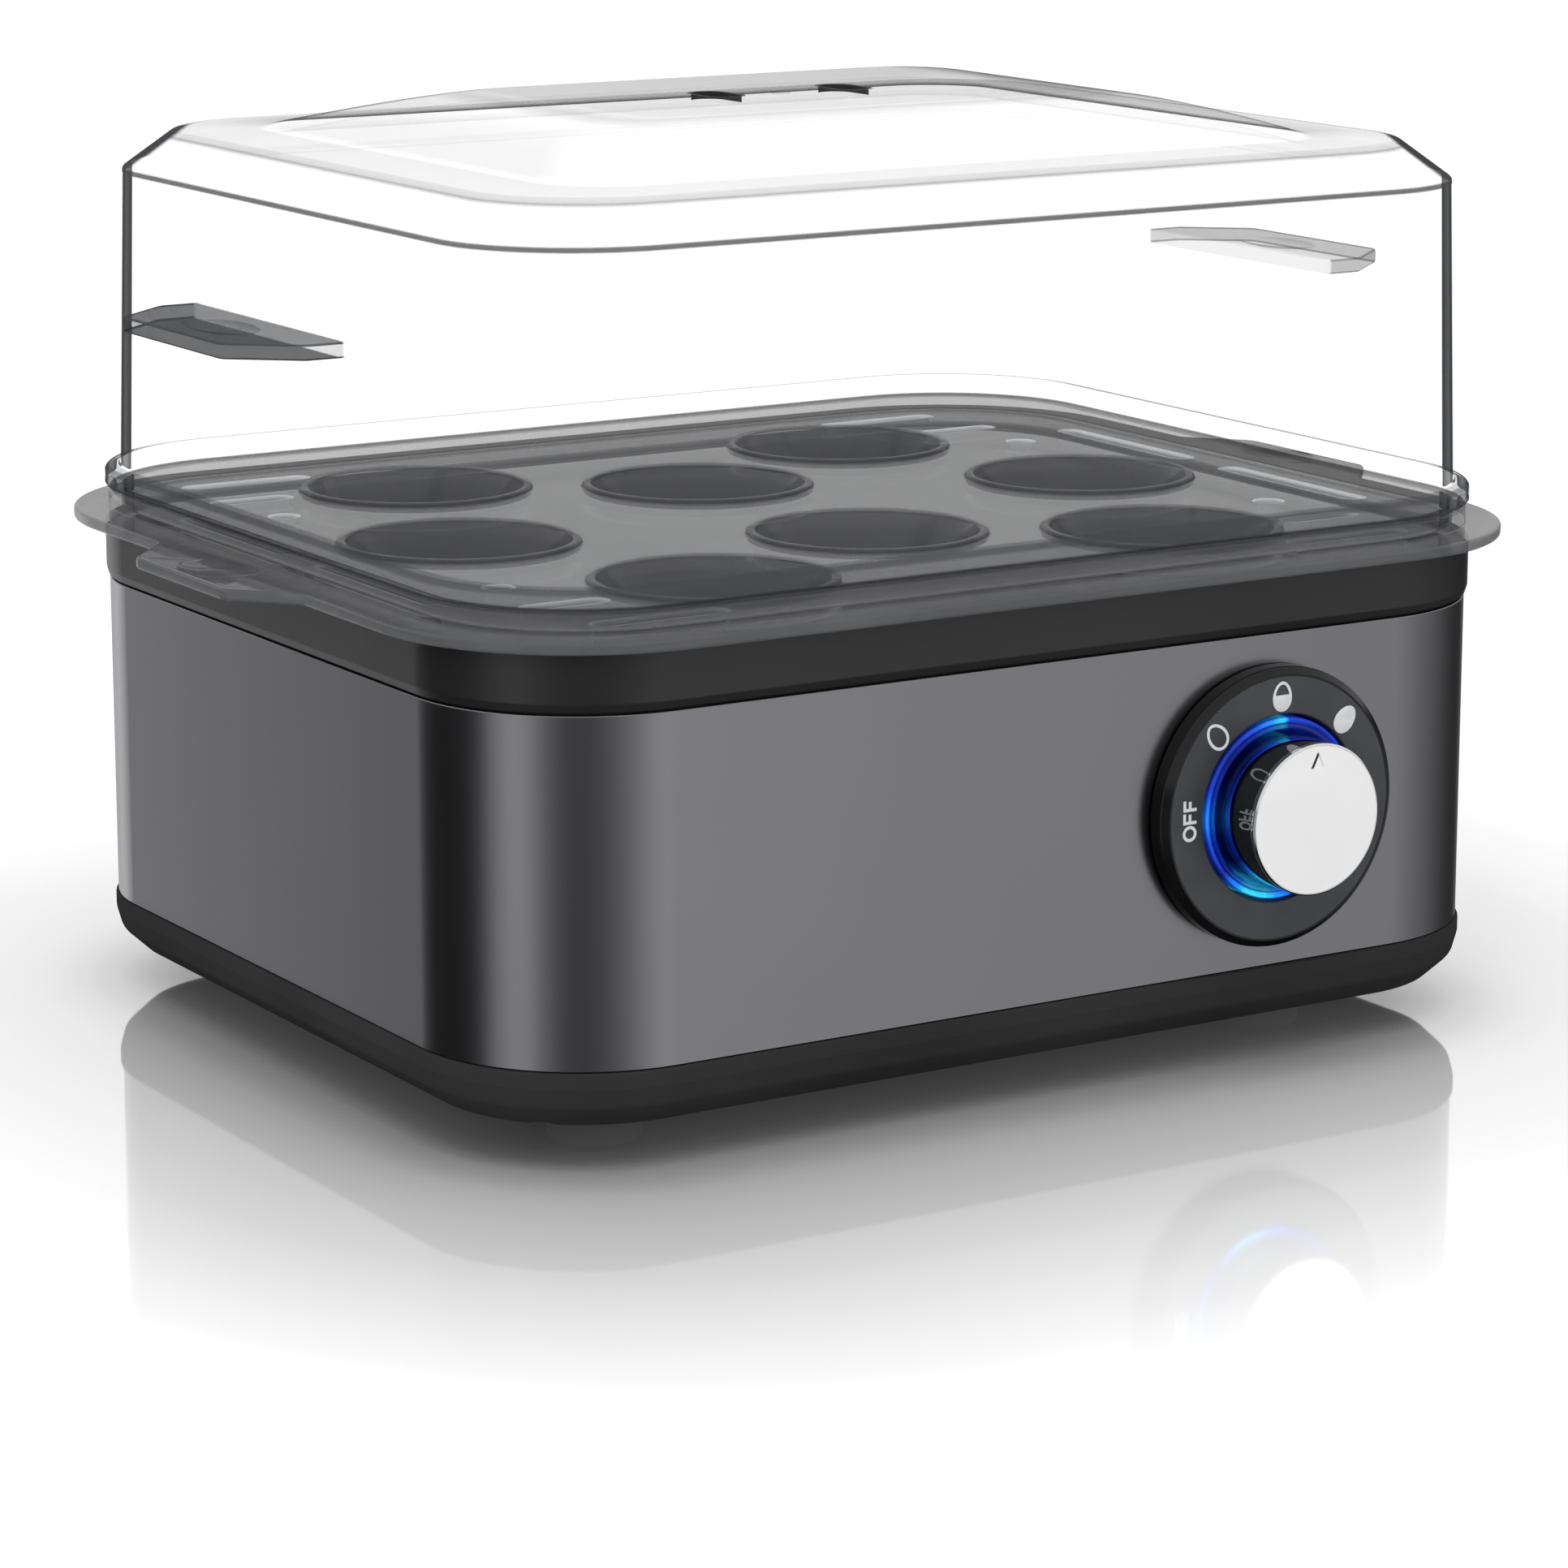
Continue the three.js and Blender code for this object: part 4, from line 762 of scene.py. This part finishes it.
def make_dial():
    bore, bevel = 14.3, 20.0
    side = rounded([
        ((bore, DIAL_BACK), 0.0), ((15.7, DIAL_BACK), 0.2), ((15.7, 0.3), 0.0), ((21.4, 0.3), 0.25),
        ((21.4, 2.8), 0.35), ((20.34, DIAL_FACE), 0.2), ((bevel, DIAL_FACE), 0.0),
    ], closed=False)
    front = rounded([
        ((bevel, DIAL_FACE), 0.0), ((bore, DIAL_FACE), 0.3), ((bore, DIAL_BACK), 0.0),
    ], closed=False)
    plate = Shape()
    for rows, material in ((side, 1), (front, 0)):
        plate.strip([circle(r, w) for r, w in rows], material=material)
    plate = plate.close("dial_face", dial_place)
    dress(plate, "housing", [dial_grey, rim_black], ["dial_plate"])
    light = turned([
        ((7.2, DIAL_BACK), 0.1), ((13.85, DIAL_BACK), 0.1), ((13.85, DIAL_FACE), 0.35),
        ((13.25, 3.8), 0.1), ((13.0, 3.3), 0.1), ((12.8, 3.8), 0.1), ((12.0, 3.8), 0.45),
        ((12.0, -2.5), 0.1), ((7.2, -2.5), 0.1),
    ])
    dress(light.close("glow_ring", dial_place), "housing", blue_light, ["light_ring"])


def make_knob():
    core, bore, front, bore_end = 0.4, 3.3, 11.7, 8.1
    body = turned([
        ((bore, bore_end), 0.1), ((bore, -1.9), 0.1), ((11.5, -1.9), 0.4), ((11.5, front), 0.04),
        ((core, front), 0.0),
    ], closed=False)
    body.fill(circle(core, front)).fill(circle(bore, bore_end))
    dress(body.close("knob_side", dial_place), "knob", knob_black, ["knob_body"])

    under, top, engraved = 11.74, 12.64, 12.44
    cap = turned([
        ((10.0, under), 0.0), ((11.5, under), 0.12), ((11.5, 12.46), 0.06), ((11.3, top), 0.06),
        ((11.1, top), 0.0),
    ], closed=False, material=2)
    cap.fill(circle(10.0, under))
    # The pointer is a shallow triangle with a painted shade line down its left side, where its wall
    # casts shade
    mark = [(-1.3, 7.8), (1.3, 7.8), (0.0, 10.4)]
    left, right, tip = offset(mark, -0.05)
    inside = (left[0] + 0.62, left[1])
    across = (inside[0] + tip[0]) / 2 + (tip[1] - left[1]) / 4
    upper = (across, left[1] + 2 * (across - inside[0]))
    cap.fill(circle(11.1, top), [at_level(mark, top)])
    cap.strip([at_level(mark, top), at_level([left, right, tip], engraved)])
    cap.fill(at_level([left, inside, upper, tip], engraved), material=1)
    cap.fill(at_level([inside, right, upper], engraved))
    cap = cap.close("knob_disc", dial_place)
    dress(cap, "knob", [cap_silver, pointer_painted_shade, bright_edge], ["knob_cap"])


def print_mark(name, points, holes=()):
    """A printed mark on the dial: a film a few hundredths thick."""
    low, high = DIAL_FACE, PRINT_FACE
    shape = Shape().fill(at_level(points, high), [at_level(h, high) for h in holes])
    shape.fill(at_level(points, low), [at_level(h, low) for h in holes])
    for one in (points, *holes):
        shape.strip([at_level(one, low), at_level(one, high)])
    dress(shape.close(name, dial_place), "housing", print_white)


def egg(distance, degrees, grow=0.0, steps=48):
    """The outline of a mark near the dial's rim: an egg shape, its narrow end outwards."""
    points = []
    a = math.radians(degrees)
    for k in range(steps):
        t = 2 * math.pi * k / steps
        along = (2.3 + grow) * math.cos(t)
        across = (1.75 + grow) * math.sin(t) * (1 - 0.10 * math.cos(t))
        points.append((
            (distance + along) * math.cos(a) + across * math.sin(a),
            (distance + along) * math.sin(a) - across * math.cos(a),
        ))
    return points[::-1]


def make_marks():
    stroke, cap_height, base_line = 0.48, 2.4, -15.45

    def letter(points, start):
        return [(base_line - b, start + a) for a, b in points]

    bar = [(0, 0), (stroke, 0), (stroke, 0.95), (1.5, 0.95), (1.5, 0.95 + stroke),
           (stroke, 0.95 + stroke), (stroke, cap_height - stroke), (1.65, cap_height - stroke),
           (1.65, cap_height), (0, cap_height)]
    wide = ellipse(1.22, cap_height / 2, 1.22, cap_height / 2 + 0.05, 40)
    hollow = ellipse(1.22, cap_height / 2, 1.22 - stroke, cap_height / 2 + 0.05 - stroke, 40)
    print_mark("print_o", letter(wide, -3.1), [letter(hollow, -3.1)])
    print_mark("print_f_1", letter(bar, -0.45))
    print_mark("print_f_2", letter(bar, 1.5))
    # Soft is an empty shape, medium a half filled one and hard a full one
    reach, line = 17.0, 0.46
    print_mark("print_egg_soft", egg(reach, 134), [egg(reach, 134, -line)])
    shell, yolk = egg(reach, 90), egg(reach, 90, -line)
    dark = [p for p in yolk if p[1] > reach + 0.15]
    print_mark("print_egg_medium", shell, [dark])
    print_mark("print_egg_hard", egg(reach, 46))


# Egg tray

def tab_outline(side, root, root_half, end, end_half):
    """The corners of a thumb tab, in the flange's order."""
    return [(side * root, -side * root_half), (side * end, -side * end_half),
            (side * end, side * end_half), (side * root, side * root_half)]


def tray_outline():
    """The flange with a thumb tab at either end."""
    flange_x, flange_y, corner = HALF_X + 5.4, HALF_Y + 5.4, CORNER + 5.4
    rows = []
    for side in (1, -1):
        root_low, end_low, end_high, root_high = tab_outline(side, flange_x, 24.5, 103.6, 15.0)
        rows += [(root_low, 1.2), (end_low, 3.2), (end_high, 3.2), (root_high, 1.2),
                 ((side * flange_x, side * flange_y), corner),
                 ((-side * flange_x, side * flange_y), corner)]
    points = []
    for i, (here, radius) in enumerate(rows):
        steps = CORNER_STEPS if radius == corner else 6
        trio = [rows[i - 1], (here, radius), rows[(i + 1) % len(rows)]]
        points += rounded(trio, closed=False, steps=steps, most=0.7)[1:-1]
    return points


def four(x, y):
    """The same place in all four quarters."""
    return [(-x, -y), (x, -y), (x, y), (-x, y)]


SEATS = [*four(40, 46.25), (-57, 0), (57, 0), (0, -25.25), (0, 25.25)]


def make_tray():
    outer = tray_outline()
    shape = Shape()
    edge = rounded([
        ((-1.0, UNDER), 0), ((0, UNDER), 0.5), ((0, DECK), 0.5), ((-1.0, DECK), 0),
    ], closed=False)
    shape.strip([at_level(offset(outer, g), z) for g, z in edge])

    upstand = rounded([
        body_row(0.5, DECK), body_row(-0.1, DECK, 0.35), body_row(-0.1, UPSTAND_TOP, 0.45),
        body_row(-2.1, UPSTAND_TOP, 0.45), body_row(-2.1, DECK, 0.35), body_row(-2.7, DECK),
    ], closed=False)
    shape.strip([ring(r) for r in upstand])

    tops, unders = [], []

    def opening(outline_at, profile, material=0):
        rows = rounded(profile, closed=False)
        rings = [at_level(outline_at(g), z) for g, z in rows]
        shape.strip(rings, material=material)
        tops.append(rings[0])
        unders.append(rings[-1])

    for x, y in SEATS:
        opening(lambda g: ellipse(x, y, g, g, 64), [
            ((19.3, DECK), 0), ((18.6, DECK), 0.4), ((18.6, DECK + 0.8), 0.45),
            ((17.2, DECK + 0.8), 0.55), ((15.0, 70.6), 0.4), ((16.4, 70.6), 0.5),
            ((18.6, UNDER), 0.6), ((19.3, UNDER), 0),
        ])
    # The drain slots, whose walls take the painted highlight. The last are round holes, all but a
    # trace
    for a, b, length, width, along_y in (
        (60.5, 65.95, 21.0, 3.0, False), (67.1, 50.45, 12.8, 3.0, False),
        (82.5, 23.0, 35.0, 3.0, True), (69.2, 34.65, 3.6, 3.599, False),
    ):
        for x, y in four(a, b):
            opening(lambda g: slot_outline(x, y, length + 2 * g, width + 2 * g, along_y), [
                ((0.8, DECK), 0), ((0, DECK), 0.6), ((0, UNDER), 0.5), ((0.8, UNDER), 0),
            ], material=1)
    dips = [thumb_dip(shape, side * 97.3, 5.5, 8.5, DECK, 0.9) for side in (-1, 1)]
    shape.fill(at_level(offset(outer, -1.0), DECK), [ring(upstand[0]), *dips])
    shape.fill(ring(upstand[-1]), tops)
    shape.fill(at_level(offset(outer, -1.0), UNDER), unders)
    tray = shape.close("tray_shell")
    dress(tray, "tray", [smoky_plastic, slot_painted_highlight], ["egg_tray"])


# Lid

def crown_row(share, drop=0.0):
    """A level ring of the crown, from its foot at 0 to its top at 1."""
    climb = 1 - (1 - share) ** 2
    half_x, half_y, corner = 67.5 - 29.5 * share, 54.55 - 27.5 * climb, mix(12, 5, share)
    return half_x, ROOF + 6.3 * climb - drop, half_y, corner


def tab_solid(side):
    """One of the lid's grips, with a shallow dip for the thumb."""
    low, high = 110.4, 112.8
    root, shoulder, end = 86.2, 94.2, 104.0
    rows = [((side * root, -24.7 * side), 0), ((side * shoulder, -24.7 * side), 1.6),
            ((side * end, -16.5 * side), 2.2), ((side * end, 16.5 * side), 2.2),
            ((side * shoulder, 24.7 * side), 1.6), ((side * root, 24.7 * side), 0)]
    points = rounded(rows, steps=5)
    edge = rounded([
        ((-1.2, low), 0), ((0, low), 0.5), ((0, high), 0.5), ((-1.2, high), 0),
    ], closed=False)
    shape = Shape().strip([at_level(offset(points, g), z) for g, z in edge])
    shape.fill(at_level(offset(points, -1.2), low))
    rim = thumb_dip(shape, side * 95.8, 5.0, 9.9, high, 1.0)
    shape.fill(at_level(offset(points, -1.2), high), [rim])
    return shape.close(f"grip_{side + 2}")


def make_lid():
    wall, steps, land = 1.7, 12, 0.6
    shares = [1 - k / steps for k in range(steps + 1)]
    down = [(crown_row(s), 0) for s in shares]
    up = [(crown_row(s, wall), 0) for s in reversed(shares)]
    side = [
        body_row(-10.7, ROOF, 1.9, 18.9), body_row(-3.7, BEND, 0.9, 22.4),
        body_row(-2.0, BEAD_TOP, 0.5), body_row(0.45, BEAD_TOP, 1.1), body_row(0.45, BEAD_LOW, 0.6),
        body_row(-2.4, BEAD_LOW, 0.2), body_row(-2.4, LID_FOOT, 0.5), body_row(-4.1, LID_FOOT, 0.5),
        body_row(-3.7, BEAD_TOP, 3.0), body_row(-5.4, 129.3, 0.8, 20.7),
        body_row(-11.55, 134.2, 0.8, 18.05),
    ]
    outer = rounded(down + side[:7], closed=False)
    inner = rounded(side[6:] + up, closed=False)
    shape = Shape().strip([ring(r) for r in outer]).strip([ring(r) for r in inner], material=2)
    vents = [slot_outline(x, 0, 10.0, 5.4, True, 14) for x in (-11.5, 11.5)]
    gate = [ellipse(0, 0, 1.6 - 0.15 * k, 1.6 - 0.15 * k, 32) for k in range(3)]
    # A vent's walls are painted dark down to the middle, a painted shade of the opening, and clear
    # below it
    top, low = outer[0][1], inner[-1][1]
    middle = top - 1.15
    for points in vents:
        upper = rounded([((land, top), 0), ((0, top), 0.1), ((0, middle), 0)], closed=False)
        lower = rounded([((0, middle), 0), ((0, low), 0.3), ((land, low), 0)], closed=False)
        shape.strip([at_level(offset(points, g), z) for g, z in upper], material=1)
        shape.strip([at_level(offset(points, g), z) for g, z in lower], material=2)
    wide = [offset(points, land) for points in vents]
    # The moulding mark between them is a shallow dip
    depths = (0.0, 0.3, 0.4)
    shape.strip([at_level(g, top - d) for g, d in zip(gate, depths)])
    shape.fill(at_level(gate[-1], top - depths[-1]))
    shape.fill(ring(outer[0]), [at_level(p, top) for p in wide] + [at_level(gate[0], top)])
    shape.fill(ring(inner[-1]), [at_level(p, low) for p in wide], material=2)
    plastics = [clear_plastic, vent_painted_shade, clear_inner]
    lid = combine(paint(shape.close("lid_shell"), plastics), [tab_solid(-1), tab_solid(1)], "UNION")
    dress(lid, "lid", plastics, ["lid"])


# Carried-over parts inside the sealed housing keep their shape and get their finish

INNER = {
    "zinc_steel": (zinc_steel, [
        "base_screw", "clamp_screw", "strap_screw", "bracket_screw", "board_screw", "capacitor",
        "heating_element", "element_clamp", "thermostat_strap", "timer_shaft", "timer_nut",
    ]),
    "grey_plastic": (grey_plastic, ["thermostat", "timer_body", "control_bracket"]),
    "white_ceramic": (white_ceramic, ["thermal_fuse", "board_connector", "terminal_block"]),
    "circuit_board": (circuit_board, ["led_board", "control_board"]),
    "relay_blue": (relay_blue, ["relay"]),
    "knob_black": (knob_black, ["buzzer"]),
    "black_plastic": (black_plastic, ["gland_nut"]),
    "led_lens": (led_lens, ["indicator_led"]),
    "wire_blue": (wire_blue, ["neutral_lead"]),
    "wire_brown": (wire_brown, ["live_lead"]),
    "wire_red": (wire_red, ["heater_lead", "link_lead"]),
}


def dress_inner():
    for slot_name, (material, names) in INNER.items():
        for name, node in nodes.items():
            stem = name.rsplit("_", 1)[0] if name[-1].isdigit() else name
            if stem in names:
                for place in node.material_slots:
                    place.material = material


# Studio

def make_camera():
    """The camera of the photo, fitted to the object's edges."""
    data = bpy.data.cameras.new("camera")
    camera = add_object("camera", data)
    camera.location = (-0.41794, -0.67290, 0.21636)
    camera.rotation_euler = (math.radians(90 - 12.0213), 0, math.radians(-31.7473))
    data.sensor_width = 36.0
    data.lens = 118.26
    data.shift_y = -0.0568
    data.clip_start, data.clip_end = 0.01, 60
    bpy.context.scene.camera = camera


def distance_outside(tree, half_x, half_y, corner):
    """How far a point of the floor lies outside a rounded rectangle, in metres."""
    value = add_node(tree, "ShaderNodeTexCoord").outputs["Object"]
    for operation, other in (
        ("SUBTRACT", (0, MIDDLE_Y, 0)), ("ABSOLUTE", None),
        ("SUBTRACT", ((half_x - corner) * MM, (half_y - corner) * MM, 0)),
        ("MAXIMUM", (0, 0, 0)), ("MULTIPLY", (1.25, 1, 1)),
    ):
        value = vector_of(tree, operation, value, other)
    length = add_node(tree, "ShaderNodeVectorMath", operation="LENGTH")
    tree.links.new(value, length.inputs[0])
    return math_of(tree, "SUBTRACT", length.outputs["Value"], corner * MM)


def mixed(tree, share, first, second):
    """A shader between two others."""
    made = add_node(tree, "ShaderNodeMixShader")
    for socket, value in zip(made.inputs, (share, first, second)):
        tree.links.new(value, socket)
    return made.outputs["Shader"]


def seen_by(tree, *kinds):
    """1 for the rays of these kinds, and 0 for all others."""
    path = add_node(tree, "ShaderNodeLightPath")
    share = path.outputs[f"Is {kinds[0]} Ray"]
    for kind in kinds[1:]:
        share = math_of(tree, "MAXIMUM", share, path.outputs[f"Is {kind} Ray"])
    return share


def make_floor():
    """A white gloss table whose mirror image fades away from the object."""
    half = 6000
    shape = Shape().fill([(-half, -half, 0), (half, -half, 0), (half, half, 0), (-half, half, 0)])
    floor = shape.close("table", lambda x, y, z: Vector((x * MM, y * MM, z * MM)))
    material = bpy.data.materials.new("table_white")
    material.use_nodes = True
    tree = material.node_tree
    tree.nodes.clear()
    link = tree.links.new
    nearness = distance_outside(tree, 84.5, 63.25, 18)

    # Close under the object the table is painted darker: a painted shadow over its own shade
    matt = add_node(tree, "ShaderNodeBsdfDiffuse")
    link(curve(tree, spread(tree, nearness, -0.010, 0.024), [
        (0.0, 0.03), (0.30, 0.12), (0.65, 0.74), (1.0, 0.86),
    ]), matt.inputs["Color"])

    # What it adds to its light where it is looked at, by distance: even white far off, painted
    # light under the object's edge and a painted shadow a little way out
    brightest = 0.45
    glow = add_node(tree, "ShaderNodeEmission", Color=(1, 1, 1, 1))
    away = curve(tree, spread(tree, nearness, -0.025, 0.395), [
        (0.0, 0.62), (0.043, 0.74), (0.06, 0.78), (0.072, 0.56), (0.085, 0.42), (0.098, 0.30),
        (0.112, 0.31), (0.167, 0.40), (0.38, 0.44), (1.0, 0.80),
    ])
    looked_at = math_of(tree, "MULTIPLY", seen_by(tree, "Camera", "Glossy", "Transmission"), away)
    link(math_of(tree, "MULTIPLY", looked_at, brightest), glow.inputs["Strength"])
    white = add_node(tree, "ShaderNodeAddShader")
    link(matt.outputs["BSDF"], white.inputs[0])
    link(glow.outputs["Emission"], white.inputs[1])

    # Near the object the mirror is painted darker, a painted shadow round its foot
    gloss = add_node(tree, "ShaderNodeBsdfGlossy", Roughness=0.05)
    link(curve(tree, spread(tree, nearness, -0.018, 0.030), [
        (0.0, 0.32), (0.375, 0.45), (0.58, 0.72), (0.80, 0.93), (1.0, 1.0),
    ]), gloss.inputs["Color"])

    # How much of a mirror the table is, by distance from the object's foot in millimetres
    mirror = follow(tree, math_of(tree, "MULTIPLY", nearness, 1 / MM), [
        (-18, 0.92), (0, 0.86), (8, 0.76), (15, 0.68), (23, 0.61), (30, 0.575), (45, 0.53),
        (51, 0.51), (58, 0.48), (65, 0.44), (72, 0.39), (80, 0.355), (86, 0.315), (93, 0.28),
        (100, 0.25), (106, 0.20), (119, 0.135), (135, 0.07), (165, 0.0),
    ])
    output = add_node(tree, "ShaderNodeOutputMaterial")
    surface = mixed(tree, mirror, white.outputs["Shader"], gloss.outputs["BSDF"])
    link(surface, output.inputs["Surface"])
    floor.data.materials.append(material)
    floor.visible_glossy = False


def make_world():
    """A bright tent. Gloss sees the studio round it: pale screens with dark flags between them."""
    world = bpy.data.worlds.new("tent")
    bpy.context.scene.world = world
    world.use_nodes = True
    tree = world.node_tree
    tree.nodes.clear()
    x, y, z = axes(tree, add_node(tree, "ShaderNodeTexCoord").outputs["Generated"])

    # Round the object from the back by way of the left, the front and the right, in degrees
    screens = [(-180, 1.50), (-164, 1.50), (-157, 1.00), (-152, 0.10), (-140, 0.03), (-104, 0.03),
               (-95, 0.10), (-86, 0.80), (-74, 1.32), (-64, 1.15), (-54, 0.50), (-42, 0.18),
               (-26, 0.18), (-12, 0.34), (0, 0.64), (12, 1.05), (24, 1.40), (30, 1.34),
               (33, 0.98), (38, 0.88), (46, 0.84), (55, 0.62), (70, 0.42), (90, 0.14),
               (105, 0.05), (122, 0.06), (134, 0.60), (150, 0.92)]
    brightest = max(strength for _, strength in screens)
    angle = math_of(tree, "ARCTAN2", x, math_of(tree, "MULTIPLY", y, -1))
    tones = curve(tree, spread(tree, angle, -math.pi, math.pi), [
        ((degrees + 180) / 360, strength / brightest) for degrees, strength in screens
    ])
    # Steeply downwards the table lies in the object's own shade
    shade = spread(tree, z, -0.62, -0.32, 0.05, 1.0, kind="SMOOTHSTEP")
    screen = math_of(tree, "MULTIPLY", math_of(tree, "MULTIPLY", tones, brightest), shade)
    # Upwards it is all tent
    height = spread(tree, z, 0.02, 0.20, kind="SMOOTHSTEP")
    gloss = add_node(tree, "ShaderNodeBackground")
    tree.links.new(blend(tree, height, screen, 1.0), gloss.inputs["Strength"])

    tent = add_node(tree, "ShaderNodeBackground", Color=(1.0, 1.0, 1.0, 1), Strength=0.8)
    plain = add_node(tree, "ShaderNodeBackground", Color=(1.0, 1.0, 1.0, 1), Strength=1.0)
    behind = mixed(tree, seen_by(tree, "Camera", "Transmission"), tent.outputs["Background"],
                   plain.outputs["Background"])
    output = add_node(tree, "ShaderNodeOutputWorld")
    tree.links.new(mixed(tree, seen_by(tree, "Glossy"), behind, gloss.outputs["Background"]),
                   output.inputs["Surface"])


def area_lamp(name, place, target, size, power):
    """A disc of light that neither the camera nor gloss sees."""
    data = bpy.data.lights.new(name, "AREA")
    data.shape, data.size, data.energy = "DISK", size, power
    lamp = add_object(name, data)
    lamp.location = place
    lamp.rotation_euler = (Vector(target) - Vector(place)).to_track_quat("-Z", "Y").to_euler()
    lamp.visible_glossy = False
    lamp.visible_camera = False


def make_studio():
    make_camera()
    make_floor()
    make_world()
    area_lamp("softbox_top", (-0.15, -0.25, 1.2), (0, 0, 0.05), 0.9, 5.0)
    area_lamp("softbox_left", (-0.9, -0.7, 0.7), (0, 0, 0.06), 0.6, 3.0)
    bpy.context.scene.view_settings.view_transform = "Standard"


make_feet()
make_base()
make_band()
make_collar()
make_bowl()
make_gland()
make_dial()
make_knob()
make_marks()
make_tray()
make_lid()
dress_inner()
make_studio()
